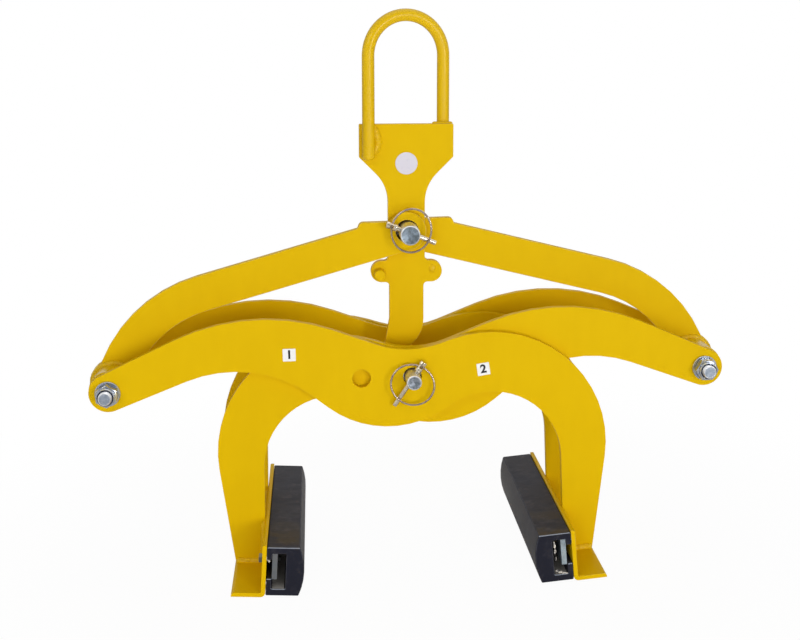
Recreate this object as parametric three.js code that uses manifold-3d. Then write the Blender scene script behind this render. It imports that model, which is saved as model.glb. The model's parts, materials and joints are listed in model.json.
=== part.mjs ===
// Stone lifting tongs: a scissor of two double-plate arms, two links and a hanger.
// Millimetres, +X to the right along the bolt line, +Y away from the front, +Z up.
// The origin lies on the ground under the middle of the tongs.
import * as THREE from 'three';
import { mergeVertices } from 'three/addons/utils/BufferGeometryUtils.js';
import Module from 'manifold-3d';

const wasm = await Module();
wasm.setup();

// Driving sizes

const clearance = 0.3; // between pieces that touch
const overrun = 2; // how far a cutting tool runs past a face
const arcStep = THREE.MathUtils.degToRad(7.5); // largest angle of one facet of an arc
const roundSides = 28; // facets round a pin, tube or hole
const smallSides = 18; // the same, on small pieces
const hexCorners = 6;
const mergeTolerance = 1e-4; // points closer than this are one
const fitShare = 0.999; // of an edge's length, the most that its two rounded corners take up

// Arms
const armThickness = 8;
const plateGap = 1.7; // between the two plates that cross at the front, and at the back
const innerGap = 81.2; // between the inner faces of the front and the rear pair
const centreHeight = 237.1; // centre pin above the ground
const boltSpread = 720; // between the two outer bolts, sideways
const armEyeDrop = 6; // outer bolt below the centre pin
const armEyeRadius = 22.7;
const centreHoleRadius = 11.2;
const secondHoleOffset = 61; // second centre hole, beside the first
// Corners of the arm's outline from the centre pin, and their radii, as shares of the reach,
// which is half the bolt spread
const humpShares = { x: -0.522, z: 0.269, radius: 0.683 };
const dipShares = { x: -0.014, z: 0.074, radius: 0.306 };
const bellyShares = { x: -0.0986, z: -0.244, radius: 0.328 };
const armpitShares = { x: -0.5206, z: 0.0975, radius: 0.417 };
const shoulderShares = { z: 0.3236, radius: 0.4 };
const crotchShares = { z: 0.124, radius: 0.2417 };
const shoulderOutset = 81.3; // shoulder corner beyond the foot plate's outer face
const crotchInset = 5.7; // crotch corner inside the foot plate's outer face

// Feet: unequal angle section, standing leg inward, flange outward
const jawLength = 259; // of each foot and its pad
const footHeight = 63.2;
const footThickness = 5;
const footWidth = 39.5;
const footEdgeRadius = 1.8;
const footHeelRadius = 5.5;
const footToeRadius = 4; // top of the flange's far edge
const footTilt = THREE.MathUtils.degToRad(4.2); // outward at the bottom, while the jaws are open
const jawSpread = 182.2; // middle plane to the top of the foot's standing leg, outer face
const legFootWidth = 33.5; // foot of an arm plate on the flange

// Rubber pads and what clamps them
const padHeight = 59.2;
const padThickness = 38.1; // without the swell of the gripping face
const padSwell = 5.8;
const padLift = 2.1; // pad above the foot's underside
const padEdgeRadius = 1.5;
const padCoreWidth = 16.1;
const padCoreHeight = 42.7;
const padCoreFloor = 8.4; // rubber under the core
const padLipThickness = 6.2; // the two lips behind the core
const padLowerLip = 12.2; // height of each lip, measured inside the core
const padUpperLip = 7.1;
const barThickness = 6;
const barHeight = 31.5;
const barRecess = 2; // bar shorter than the pad at each end
const padBoltRadius = 3;
const padBoltHeadFlats = 10;
const padBoltHeadHeight = 4;
const padBoltHeadTurn = THREE.MathUtils.degToRad(30);
const padBoltNearInset = 20; // bolt to the end of the foot: the left foot's front, the right one's rear
const padBoltFarInset = 33; // and at the other end
const padBoltHeight = 39;
const padBoltTip = 3; // thread showing past the bar

// Centre pivot
const centrePinRadius = 9;
const centrePinReach = 27; // pin end in front of the front arm plate
const centrePinHeadRadius = 15;
const centrePinHeadHeight = 6;
const centreSpacerRadius = 15;
const centreWasherRadius = 18;
const pinChamfer = 1;

// Outer pivots
const boltRadius = 8;
const boltHeadFlats = 24;
const boltHeadHeight = 10;
const boltTip = 5; // bolt end past its nut
const boltChamfer = 1.2;
const nutHexHeight = 10.5;
const rightNutTurn = THREE.MathUtils.degToRad(30); // the left nut has two flats upright
const nutCollarHeight = 4;
const nutCollarRadius = 10.9;
const insertRadius = 9.7;
const insertHeight = 2.4;
const boltWasherRadius = 15;
const boltWasherThickness = 3;
const bushRadius = 10;
const sleeveRadius = 24;
const sleeveWall = 4.4;

// Links
const linkThickness = 10;
const linkWidth = 43.7;
const linkSlope = THREE.MathUtils.degToRad(15); // straight part below level
const linkBarDrop = 1.55; // middle of the straight part below the top pin
const linkBendRadius = 158;
const linkEyeRadius = 29; // round end about the sleeve
const tabHeight = 12.2; // flat top of the tab above the top pin
const tabReach = 57; // tab corner from the top pin
const tabLean = 3;
const tabCornerRadius = 6;

// Hanger
const hangerThickness = 10;
const hangerLean = THREE.MathUtils.degToRad(1); // slack at the top pin lets it lean to the right
const topPinRise = 169.2; // top pin above the centre pin
const headRise = 129; // hanger's top edge above the top pin
const headHalfWidth = 57;
const headSide = 40; // straight side of the head
const neckHalfWidth = 22.5;
const neckBlendRadius = 50;
const earDrop = 51.4; // middle of the ears below the top pin
const earHalfWidth = 43.7;
const earHalfHeight = 13.4;
const earRootRadius = 5;
const shankHalfWidth = 21;
const tailTurnDrop = 112; // where the tail's left edge turns outward, below the top pin
const tailOutset = 8.3; // how far it has gone outward at the tail's end
const tailGap = 0.5; // tail's end above the top of the centre spacer
const tailRoundRadius = 42; // right corner of the tail's end
const tailCornerRadius = 4;
const tailTurnRadius = 30;
const hangerCornerRadius = 1.5;
const stopPinRadius = 6.6;
const stopPinLength = 12;
const stopPinOutset = 2.9; // stop pin beyond the middle of its ear's round end
const stopPinDrop = 2.4; // and below it
const stickerRadius = 13.5;
const stickerDrop = 47.5; // sticker below the hanger's top edge
const stickerThickness = 0.4;

// Top pin, loose in the holes of the links and the hanger
const topPinRadius = 12;
const topHoleRadius = 13.8;
const topPinShift = 1.5; // it lies against the right of its holes
const topPinReach = 32; // pin end in front of the front link
const topPinHeadRadius = 18;
const topPinHeadHeight = 6;

// Ring clips
const clipRodRadius = 3;
const clipLength = 57.3; // ring's pivot to the tip of the rod
const clipSetback = 20; // rod behind the end of its pin
const clipHeadRadius = 4.8;
const clipHeadLength = 14;
const topClipSlack = 3.3; // between the head and its pin
const centreClipSlack = 1;
const topClipTurn = THREE.MathUtils.degToRad(22.8); // tip below level
const centreClipTurn = THREE.MathUtils.degToRad(125.1);
const clipRingLength = 47.8; // the ring is a little oval: middle of the wire, from the head
const clipRingWidth = 53;
const clipRingSkew = THREE.MathUtils.degToRad(9); // ring's long line from the rod
const clipHoleRadius = 2.1; // wide enough for the curved wire
const clipWireRadius = 1.3;
const clipWireSides = 6;
const clipRingSteps = 40;

// Lifting bail
const bailBarRadius = 7.5;
const bailHalfWidth = 46; // leg from the middle, sideways
const bailRise = 136.6; // top of the bail above the hanger's top edge
const bailLap = 42; // leg on the hanger's face
const bailSides = 14;
const bailSteps = 34;

// Position labels, their places from the centre pin as shares of the arms' reach
const labelSize = 15.3;
const labelThickness = 0.4;
const labelTurn = THREE.MathUtils.degToRad(-8); // the second label, stuck on askew
const labelShares = [
  { name: 'label_1', x: -0.4056, z: 0.0903, turn: 0 },
  { name: 'label_2', x: 0.2375, z: 0.0165, turn: labelTurn },
];

// Places worked out from the sizes

const armReach = boltSpread / 2; // centre pin to outer bolt, sideways
const topPinHeight = centreHeight + topPinRise;
const innerFace = innerGap / 2;
const platePitch = armThickness + plateGap;
const armFrontY = -innerFace - platePitch - armThickness; // front face of the front-most plate
const armBackY = -armFrontY;
const plateY = {
  arm_a_front: armFrontY,
  arm_b_front: -innerFace - armThickness,
  arm_a_rear: innerFace,
  arm_b_rear: innerFace + platePitch,
};
const hangerFrontY = -hangerThickness / 2;
const tailEndDrop = topPinRise - centreSpacerRadius - tailGap;
const linkFrontY = hangerFrontY - clearance - linkThickness;
const linkBackY = -linkFrontY;
const padBackX = jawSpread - footThickness - clearance;

// Feet and pads are laid out upright on the right side, then tilted about the top of the foot's
// standing leg and lifted until the lowest corner is on the ground
const hip = new THREE.Vector2(jawSpread, footHeight);
const tiltedPoint = (x, z) => new THREE.Vector2(x, z).rotateAround(hip, footTilt);
const footLift = -Math.min(
  tiltedPoint(padBackX - padThickness, padLift).y,
  tiltedPoint(padBackX, padLift).y,
  tiltedPoint(jawSpread - footThickness, 0).y,
  tiltedPoint(jawSpread - footThickness + footWidth, 0).y,
);

// Materials

const finish = (color, roughness, metalness) =>
  new THREE.MeshStandardMaterial({ color, roughness, metalness });
const yellowPaint = finish(0xe0b80a, 0.42, 0.1);
const blackRubber = finish(0x232326, 0.8, 0);
const zincPlate = finish(0xb4bac4, 0.32, 0.9);
const clipSteel = finish(0xc9c2b2, 0.25, 0.95);
const blueNylon = finish(0x1c2a44, 0.5, 0);
const barSteel = finish(0xa9ada6, 0.45, 0.8);
const paleSticker = finish(0xd9d7e0, 0.6, 0);
const whiteLabel = finish(0xf2f2f2, 0.55, 0);

// Solids

const toSolid = (geometry) => {
  const bare = geometry.index ? geometry.toNonIndexed() : geometry.clone();
  bare.deleteAttribute('normal');
  bare.deleteAttribute('uv');
  const merged = mergeVertices(bare, mergeTolerance);
  return new wasm.Manifold(
    new wasm.Mesh({
      numProp: 3,
      vertProperties: merged.attributes.position.array,
      triVerts: Uint32Array.from(merged.index.array),
    }),
  );
};

const toGeometry = (solid) => {
  const mesh = solid.getMesh();
  const geometry = new THREE.BufferGeometry();
  geometry.setAttribute('position', new THREE.BufferAttribute(mesh.vertProperties, mesh.numProp));
  geometry.setIndex(new THREE.BufferAttribute(mesh.triVerts, 1));
  return geometry;
};

const cut = (geometry, ...tools) =>
  toGeometry(tools.reduce((solid, tool) => solid.subtract(toSolid(tool)), toSolid(geometry)));
const join = (...geometries) =>
  toGeometry(geometries.slice(1).reduce((sum, g) => sum.add(toSolid(g)), toSolid(geometries[0])));

// A flat piece with its outline in X and Z, from frontY back to backY
const slab = (outline, frontY, backY) => {
  const geometry = new THREE.ExtrudeGeometry(new THREE.Shape(outline), {
    depth: backY - frontY,
    bevelEnabled: false,
  });
  geometry.rotateX(Math.PI / 2);
  return geometry.translate(0, backY, 0);
};

// A round bar along Y, with optional bevelled ends
const roundBar = (x, z, radius, frontY, backY, frontBevel = 0, backBevel = 0, sides = roundSides) => {
  const length = backY - frontY;
  const profile = [new THREE.Vector2(0, 0), new THREE.Vector2(radius - frontBevel, 0)];
  if (frontBevel > 0) profile.push(new THREE.Vector2(radius, frontBevel));
  if (backBevel > 0) profile.push(new THREE.Vector2(radius, length - backBevel));
  profile.push(new THREE.Vector2(radius - backBevel, length), new THREE.Vector2(0, length));
  return new THREE.LatheGeometry(profile, sides).translate(x, frontY, z);
};

const hexRadius = (flats) => flats / 2 / Math.cos(Math.PI / hexCorners);

const hexBar = (x, z, flats, frontY, backY, turn = 0) => {
  const radius = hexRadius(flats);
  const bar = new THREE.CylinderGeometry(radius, radius, backY - frontY, hexCorners);
  return bar.rotateY(turn).translate(x, (frontY + backY) / 2, z);
};

// A ring or tube along Y
const tube = (x, z, outer, inner, frontY, backY, sides = roundSides) => {
  const profile = [
    new THREE.Vector2(inner, 0),
    new THREE.Vector2(outer, 0),
    new THREE.Vector2(outer, backY - frontY),
    new THREE.Vector2(inner, backY - frontY),
    new THREE.Vector2(inner, 0),
  ];
  return new THREE.LatheGeometry(profile, sides).translate(x, frontY, z);
};

// A round wire or bar along a curve
const wireAlong = (curve, radius, sides, steps) => {
  const section = Array.from({ length: sides }, (_, i) => {
    const angle = (2 * Math.PI * i) / sides;
    return new THREE.Vector2(radius * Math.cos(angle), radius * Math.sin(angle));
  });
  return new THREE.ExtrudeGeometry(new THREE.Shape(section), {
    extrudePath: curve,
    steps,
    bevelEnabled: false,
  });
};

// Outlines

const point = (x, z) => new THREE.Vector2(x, z);

// Points along an arc about centre, from one angle to another, ends included
const arc = (centre, radius, from, to) => {
  const count = Math.max(1, Math.ceil(Math.abs(to - from) / arcStep));
  return Array.from({ length: count + 1 }, (_, i) => {
    const angle = from + ((to - from) * i) / count;
    return point(centre.x + radius * Math.cos(angle), centre.y + radius * Math.sin(angle));
  });
};

// A closed polygon whose corners are rounded, each as far as its two edges allow
const rounded = (corners) => {
  const at = (i) => corners[(i + corners.length) % corners.length];
  const half = corners.map((corner, i) => {
    const back = at(i - 1).place.clone().sub(corner.place);
    const ahead = at(i + 1).place.clone().sub(corner.place);
    return Math.acos(THREE.MathUtils.clamp(back.normalize().dot(ahead.normalize()), -1, 1)) / 2;
  });
  const setback = corners.map((corner, i) => (corner.radius ?? 0) / Math.tan(half[i]));
  return corners.flatMap((corner, i) => {
    if (!corner.radius) return [corner.place];
    const share = [-1, 1].map((side) => {
      const edge = at(i + side).place.distanceTo(corner.place);
      const other = setback[(i + side + corners.length) % corners.length];
      return Math.min(1, (fitShare * edge) / (setback[i] + other));
    });
    const reach = setback[i] * Math.min(...share);
    const radius = reach * Math.tan(half[i]);
    const back = at(i - 1).place.clone().sub(corner.place).normalize();
    const ahead = at(i + 1).place.clone().sub(corner.place).normalize();
    const middle = back.clone().add(ahead).normalize();
    const centre = corner.place.clone().addScaledVector(middle, radius / Math.sin(half[i]));
    const start = corner.place.clone().addScaledVector(back, reach).sub(centre).angle();
    let sweep = corner.place.clone().addScaledVector(ahead, reach).sub(centre).angle() - start;
    if (sweep > Math.PI) sweep -= 2 * Math.PI;
    if (sweep < -Math.PI) sweep += 2 * Math.PI;
    return arc(centre, radius, start, start + sweep);
  });
};

// The far side of a circle between the tangents from one outside point and to another
const eye = (centre, radius, from, to) => {
  const tangent = (outside, side) => {
    const away = outside.clone().sub(centre);
    return away.angle() + side * Math.acos(Math.min(1, radius / away.length()));
  };
  const start = tangent(from, -1);
  let end = tangent(to, 1);
  while (end > start) end -= 2 * Math.PI;
  return arc(centre, radius, start, end);
};

const mirrored = (outline) => outline.map((p) => point(-p.x, p.y)).reverse();
const moved = (outline, x, z) => outline.map((p) => point(p.x + x, p.y + z));

// Arms

// A corner of the leg on the foot, laid out upright as the foot is
const legCorner = (x, z) => ({ place: tiltedPoint(x, z).sub(point(0, centreHeight - footLift)) });
const boltPlace = point(-armReach, -armEyeDrop);

const sharedCorner = (shares, x) => ({
  place: point(x ?? shares.x * armReach, shares.z * armReach),
  radius: shares.radius * armReach,
});

// One arm plate about the centre pin, outer bolt on the left and jaw on the right
const armOutline = () => {
  const hump = sharedCorner(humpShares);
  const armpit = sharedCorner(armpitShares);
  const innerX = jawSpread + clearance;
  const end = eye(boltPlace, armEyeRadius, armpit.place, hump.place);
  return rounded([
    hump,
    sharedCorner(dipShares),
    sharedCorner(shoulderShares, jawSpread + shoulderOutset),
    legCorner(innerX + legFootWidth, footThickness + clearance),
    legCorner(innerX, footThickness + clearance),
    legCorner(innerX, footHeight + clearance),
    sharedCorner(crotchShares, jawSpread - crotchInset),
    sharedCorner(bellyShares),
    armpit,
    ...end.map((place) => ({ place })),
  ]);
};

const armPlate = (side, frontY) => {
  const outline = side < 0 ? mirrored(armOutline()) : armOutline();
  const backY = frontY + armThickness;
  const plate = slab(moved(outline, 0, centreHeight), frontY, backY);
  const hole = (x, z, radius) =>
    roundBar(x, centreHeight + z, radius, frontY - overrun, backY + overrun);
  return cut(
    plate,
    hole(0, 0, centreHoleRadius),
    hole(-side * secondHoleOffset, 0, centreHoleRadius),
    hole(-side * armReach, -armEyeDrop, boltRadius + clearance),
  );
};

// Feet and pads, laid out upright for the right side; the left ones are mirrored

const footOutline = () =>
  rounded([
    { place: point(jawSpread - footThickness, 0), radius: footHeelRadius },
    { place: point(jawSpread - footThickness + footWidth, 0) },
    { place: point(jawSpread - footThickness + footWidth, footThickness), radius: footToeRadius },
    { place: point(jawSpread, footThickness) },
    { place: point(jawSpread, footHeight), radius: footEdgeRadius },
    { place: point(jawSpread - footThickness, footHeight) },
  ]);

// Front and rear bolt of a foot; the two feet are alike, one turned half round
const padBoltPlaces = (side) =>
  [-1, 1].map((end) => {
    const inset = end === side ? padBoltNearInset : padBoltFarInset;
    return end * (jawLength / 2 - inset);
  });

// A bar along X, from inner to outer X on the right side
const crossBar = (side, y, z, radius, innerX, outerX, sides = smallSides, turn = 0) => {
  const bar = new THREE.CylinderGeometry(radius, radius, outerX - innerX, sides).rotateY(turn);
  return bar.rotateZ(Math.PI / 2).translate((side * (innerX + outerX)) / 2, y, z);
};

const boltHoles = (side, innerX, outerX) =>
  padBoltPlaces(side).map((y) =>
    crossBar(side, y, padBoltHeight, padBoltRadius + clearance, innerX - overrun, outerX + overrun),
  );

const sideOutline = (outline, side) => (side < 0 ? mirrored(outline) : outline);

const tilted = (geometry, side) =>
  geometry
    .translate(-side * hip.x, 0, -hip.y)
    .rotateY(-side * footTilt)
    .translate(side * hip.x, 0, hip.y + footLift);

const foot = (side) => {
  const angle = slab(sideOutline(footOutline(), side), -jawLength / 2, jawLength / 2);
  const holes = boltHoles(side, jawSpread - footThickness, jawSpread);
  return tilted(cut(angle, ...holes), side);
};

// The pad's section: gently swelling gripping face, and a core open at the back between two lips
const padOutline = () => {
  const faceX = padBackX - padThickness;
  const top = padLift + padHeight;
  const coreX = padBackX - padLipThickness;
  const low = padLift + padCoreFloor;
  const high = low + padCoreHeight;
  const swellRadius = ((padHeight / 2) ** 2 + padSwell ** 2) / (2 * padSwell);
  const centre = point(faceX - padSwell + swellRadius, padLift + padHeight / 2);
  const half = Math.asin(padHeight / 2 / swellRadius);
  return rounded([
    { place: point(padBackX, padLift), radius: padEdgeRadius },
    { place: point(padBackX, low + padLowerLip) },
    { place: point(coreX, low + padLowerLip) },
    { place: point(coreX, low) },
    { place: point(coreX - padCoreWidth, low) },
    { place: point(coreX - padCoreWidth, high) },
    { place: point(coreX, high) },
    { place: point(coreX, high - padUpperLip) },
    { place: point(padBackX, high - padUpperLip) },
    { place: point(padBackX, top), radius: padEdgeRadius },
    ...arc(centre, swellRadius, Math.PI - half, Math.PI + half).map((place) => ({ place })),
  ]);
};

const pad = (side) =>
  tilted(slab(sideOutline(padOutline(), side), -jawLength / 2, jawLength / 2), side);

const barBackX = padBackX - padLipThickness - clearance;

const clampBar = (side) => {
  const top = padLift + padCoreFloor + padCoreHeight - clearance;
  const outline = [
    point(barBackX - barThickness, top - barHeight),
    point(barBackX, top - barHeight),
    point(barBackX, top),
    point(barBackX - barThickness, top),
  ];
  const end = jawLength / 2 - barRecess;
  const bar = slab(sideOutline(outline, side), -end, end);
  return tilted(cut(bar, ...boltHoles(side, barBackX - barThickness, barBackX)), side);
};

const padBolt = (side, y) => {
  const tipX = barBackX - barThickness - padBoltTip;
  const headX = jawSpread + clearance;
  const endX = headX + padBoltHeadHeight;
  const headRadius = hexRadius(padBoltHeadFlats);
  const shank = crossBar(
    side, y, padBoltHeight, padBoltRadius, tipX, headX + padBoltHeadHeight / 2,
  );
  const head = crossBar(
    side, y, padBoltHeight, headRadius, headX, endX, hexCorners, padBoltHeadTurn,
  );
  return tilted(join(shank, head), side);
};

// Pins with a ring clip

const clipMatrix = (x, y, z, turn) =>
  new THREE.Matrix4().makeTranslation(x, y, z).multiply(new THREE.Matrix4().makeRotationY(turn));

const lyingRod = (radius, fromX, toX) => {
  const rod = new THREE.CylinderGeometry(radius, radius, toX - fromX, smallSides);
  return rod.rotateZ(Math.PI / 2).translate((fromX + toX) / 2, 0, 0);
};

// Rod along X through its pin, with the hole for the ring across its head
const clipPin = (matrix, headReach) => {
  const rod = lyingRod(clipRodRadius, -headReach, clipLength - headReach);
  const headEnd = -headReach - clipHeadLength / 2;
  const head = lyingRod(clipHeadRadius, headEnd, headEnd + clipHeadLength);
  const length = 2 * (clipHeadRadius + overrun);
  const hole = new THREE.CylinderGeometry(clipHoleRadius, clipHoleRadius, length, smallSides);
  hole.rotateX(Math.PI / 2).rotateY(-clipRingSkew).translate(-headReach, 0, 0);
  return cut(join(rod, head), hole).applyMatrix4(matrix);
};

class RingCurve extends THREE.Curve {
  getPoint(t, target = new THREE.Vector3()) {
    const angle = 2 * Math.PI * t;
    const x = (clipRingLength * (1 - Math.cos(angle))) / 2;
    return target.set(x, 0, (clipRingWidth * Math.sin(angle)) / 2);
  }
}

// The ring runs through the head and lies on the front of the rod near its tip
const clipRing = (matrix, headReach) => {
  const ring = new THREE.TubeGeometry(
    new RingCurve(), clipRingSteps, clipWireRadius, clipWireSides, true,
  );
  const lift = clipRodRadius + clipWireRadius + clearance;
  ring.rotateZ(-Math.asin(Math.min(1, lift / clipRingLength)));
  return ring.rotateY(-clipRingSkew).translate(-headReach, 0, 0).applyMatrix4(matrix);
};

const clipHole = (matrix, pinRadius) =>
  lyingRod(clipRodRadius + clearance, -pinRadius - overrun, pinRadius + overrun)
    .applyMatrix4(matrix);

const centrePinFrontY = armFrontY - centrePinReach;
const centreClip = clipMatrix(0, centrePinFrontY + clipSetback, centreHeight, centreClipTurn);
const centreHeadReach = centrePinRadius + centreClipSlack + clipHeadLength / 2;
const topPinFrontY = linkFrontY - topPinReach;
const topClip = clipMatrix(
  topPinShift, topPinFrontY + clipSetback, topPinHeight, topClipTurn,
);
const topHeadReach = topPinRadius + topClipSlack + clipHeadLength / 2;

const headedPin = (x, z, radius, frontY, seatY, headRadius, headHeight, clip) => {
  const headY = seatY + clearance;
  const shaft = roundBar(x, z, radius, frontY, headY + headHeight / 2, pinChamfer, 0);
  const head = roundBar(x, z, headRadius, headY, headY + headHeight, pinChamfer, pinChamfer);
  return cut(join(shaft, head), clipHole(clip, radius));
};

// Outer pivots: side -1 joins arm A to the left link, side 1 joins arm B to the right link

const outerFaces = (side) => {
  const arm = side < 0 ? 'arm_a' : 'arm_b';
  return { frontY: plateY[`${arm}_front`], backY: plateY[`${arm}_rear`] + armThickness };
};
const boltZ = centreHeight - armEyeDrop;
const washerStack = clearance + boltWasherThickness;

const outerBolt = (side) => {
  const { frontY, backY } = outerFaces(side);
  const x = side * armReach;
  const headY = backY + washerStack + clearance;
  const nutFrontY = frontY - washerStack - clearance - nutHexHeight - nutCollarHeight;
  const shank = roundBar(
    x, boltZ, boltRadius, nutFrontY - boltTip, headY + boltHeadHeight / 2, boltChamfer, 0,
  );
  return join(shank, hexBar(x, boltZ, boltHeadFlats, headY, headY + boltHeadHeight));
};

const outerNut = (side) => {
  const x = side * armReach;
  const seatY = outerFaces(side).frontY - washerStack - clearance;
  const hexY = seatY - nutHexHeight;
  const frontY = hexY - nutCollarHeight;
  const body = join(
    hexBar(x, boltZ, boltHeadFlats, hexY, seatY, side > 0 ? rightNutTurn : 0),
    roundBar(x, boltZ, nutCollarRadius, frontY, seatY - nutHexHeight / 2, pinChamfer / 2, 0),
  );
  return cut(
    body,
    roundBar(x, boltZ, boltRadius + clearance, frontY - overrun, seatY + overrun),
    roundBar(x, boltZ, insertRadius, frontY - overrun, frontY + insertHeight + clearance),
  );
};

const nutInsert = (side) => {
  const frontY =
    outerFaces(side).frontY - washerStack - clearance - nutHexHeight - nutCollarHeight;
  const outer = insertRadius - clearance;
  return tube(side * armReach, boltZ, outer, boltRadius + clearance, frontY, frontY + insertHeight);
};

const boltWasher = (side, frontY) =>
  tube(
    side * armReach,
    boltZ,
    boltWasherRadius,
    boltRadius + clearance,
    frontY,
    frontY + boltWasherThickness,
  );

const innerSpan = (side) => {
  const { frontY, backY } = outerFaces(side);
  return [frontY + armThickness + clearance, backY - armThickness - clearance];
};

const bush = (side) =>
  tube(side * armReach, boltZ, bushRadius, boltRadius + clearance, ...innerSpan(side));
const sleeve = (side) =>
  tube(side * armReach, boltZ, sleeveRadius, sleeveRadius - sleeveWall, ...innerSpan(side));

// Links: an eye with a tab, a straight bar, a bend down and an eye about the sleeve

const linkOutline = () => {
  const along = point(-Math.cos(linkSlope), -Math.sin(linkSlope));
  const down = point(Math.sin(linkSlope), -Math.cos(linkSlope));
  const eyeRadius = linkWidth / 2 + linkBarDrop;
  const origin = point(0, 0);
  const sleevePlace = point(-armReach, boltZ - topPinHeight);
  const drop = sleevePlace.dot(down) - linkBarDrop;
  const run = Math.sqrt(Math.max(0, drop * (2 * linkBendRadius - drop)));
  const straight = sleevePlace.dot(along) - run;
  const bendCentre = origin
    .clone()
    .addScaledVector(along, straight)
    .addScaledVector(down, linkBarDrop + linkBendRadius);
  const from = down.clone().negate().angle();
  const to = from + Math.asin(Math.min(1, run / linkBendRadius));
  const outer = arc(bendCentre, linkBendRadius + linkWidth / 2, from, to);
  const inner = arc(bendCentre, linkBendRadius - linkWidth / 2, to, from);
  const tabAngle = Math.PI - Math.asin(tabHeight / eyeRadius);
  const eyeArc = arc(origin, eyeRadius, down.angle() - 2 * Math.PI, tabAngle);
  const topOffset = linkWidth / 2 - linkBarDrop;
  const tabFoot = -tabReach - tabLean;
  return rounded([
    ...eyeArc.map((place) => ({ place })),
    { place: point(-tabReach, tabHeight), radius: tabCornerRadius },
    { place: point(tabFoot, tabFoot * Math.tan(linkSlope) + topOffset / Math.cos(linkSlope)) },
    ...outer.map((place) => ({ place })),
    ...inner.map((place) => ({ place })),
  ]);
};

const link = (side) => {
  const frontY = side < 0 ? linkFrontY : linkBackY - linkThickness;
  const backY = frontY + linkThickness;
  const outline = sideOutline(linkOutline(), -side);
  return cut(
    join(
      slab(moved(outline, 0, topPinHeight), frontY, backY),
      roundBar(side * armReach, boltZ, linkEyeRadius, frontY, backY),
    ),
    roundBar(0, topPinHeight, topHoleRadius, frontY - overrun, backY + overrun),
    roundBar(
      side * armReach, boltZ, sleeveRadius + clearance, frontY - overrun, backY + overrun,
    ),
  );
};

// Hanger: flat plate with head, neck and ears, and a tail whose round end clears the spacer

const leaned = (geometry) =>
  geometry
    .translate(0, 0, -topPinHeight)
    .rotateY(hangerLean)
    .translate(0, 0, topPinHeight);

const hangerSide = () => [
  { place: point(headHalfWidth, headRise), radius: hangerCornerRadius },
  { place: point(headHalfWidth, headRise - headSide), radius: hangerCornerRadius },
  {
    place: point(neckHalfWidth, headRise - headSide - (headHalfWidth - neckHalfWidth)),
    radius: neckBlendRadius,
  },
  { place: point(neckHalfWidth, earHalfHeight - earDrop), radius: earRootRadius },
  { place: point(earHalfWidth, earHalfHeight - earDrop), radius: earHalfHeight },
  { place: point(earHalfWidth, -earHalfHeight - earDrop), radius: earHalfHeight },
  { place: point(shankHalfWidth, -earHalfHeight - earDrop), radius: earRootRadius },
];

const hangerOutline = () => {
  const right = hangerSide();
  const left = right.map(({ place, radius }) => ({ place: point(-place.x, place.y), radius }));
  return rounded([
    ...right,
    { place: point(shankHalfWidth, -tailEndDrop), radius: tailRoundRadius },
    { place: point(-shankHalfWidth - tailOutset, -tailEndDrop), radius: tailCornerRadius },
    { place: point(-shankHalfWidth, -tailTurnDrop), radius: tailTurnRadius },
    ...left.reverse(),
  ]);
};

const suspensionPlate = () => {
  const plate = slab(moved(hangerOutline(), 0, topPinHeight), hangerFrontY, -hangerFrontY);
  const hole = roundBar(
    0, topPinHeight, topHoleRadius, hangerFrontY - overrun, overrun - hangerFrontY,
  );
  return leaned(cut(plate, hole));
};

const stopPin = (side) => {
  const x = side * (earHalfWidth - earHalfHeight + stopPinOutset);
  const nearY = hangerThickness / 2 + clearance;
  const farY = nearY + stopPinLength;
  const z = topPinHeight - earDrop - stopPinDrop;
  return leaned(
    side < 0
      ? roundBar(x, z, stopPinRadius, -farY, -nearY, pinChamfer, 0, smallSides)
      : roundBar(x, z, stopPinRadius, nearY, farY, 0, pinChamfer, smallSides),
  );
};

// Bail: two straight legs, one on each face of the hanger, and a half circle between them
const bailLegY = hangerThickness / 2 + clearance + bailBarRadius;
const bailArchRadius = Math.hypot(bailHalfWidth, bailLegY);

class BailCurve extends THREE.Curve {
  getPoint(t, target = new THREE.Vector3()) {
    const low = topPinHeight + headRise - bailLap;
    const archZ = topPinHeight + headRise + bailRise - bailBarRadius - bailArchRadius;
    const leg = archZ - low;
    const arch = Math.PI * bailArchRadius;
    const run = t * (2 * leg + arch);
    const turn = THREE.MathUtils.clamp((run - leg) / bailArchRadius, 0, Math.PI);
    const below = Math.max(0, leg - run, run - leg - arch);
    const side = -Math.cos(turn);
    const z = archZ + bailArchRadius * Math.sin(turn) - below;
    return target.set(side * bailHalfWidth, side * bailLegY, z);
  }
}

const bail = () => leaned(wireAlong(new BailCurve(), bailBarRadius, bailSides, bailSteps));

// Small flat pieces

const sticker = () => {
  const backY = hangerFrontY - clearance;
  const z = topPinHeight + headRise - stickerDrop;
  return leaned(roundBar(0, z, stickerRadius, backY - stickerThickness, backY));
};

const label = ({ x, z, turn }) => {
  const plate = new THREE.BoxGeometry(labelSize, labelThickness, labelSize);
  const y = armFrontY - clearance - labelThickness / 2;
  return plate.rotateY(turn).translate(x * armReach, y, centreHeight + z * armReach);
};

// The assembled tongs

const tongs = new THREE.Group();
const hanger = new THREE.Group();
const centre = new THREE.Group();
tongs.add(hanger, centre);

const add = (parent, name, geometry, material) => {
  const mesh = new THREE.Mesh(geometry, material);
  mesh.name = name;
  parent.add(mesh);
};

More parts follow.
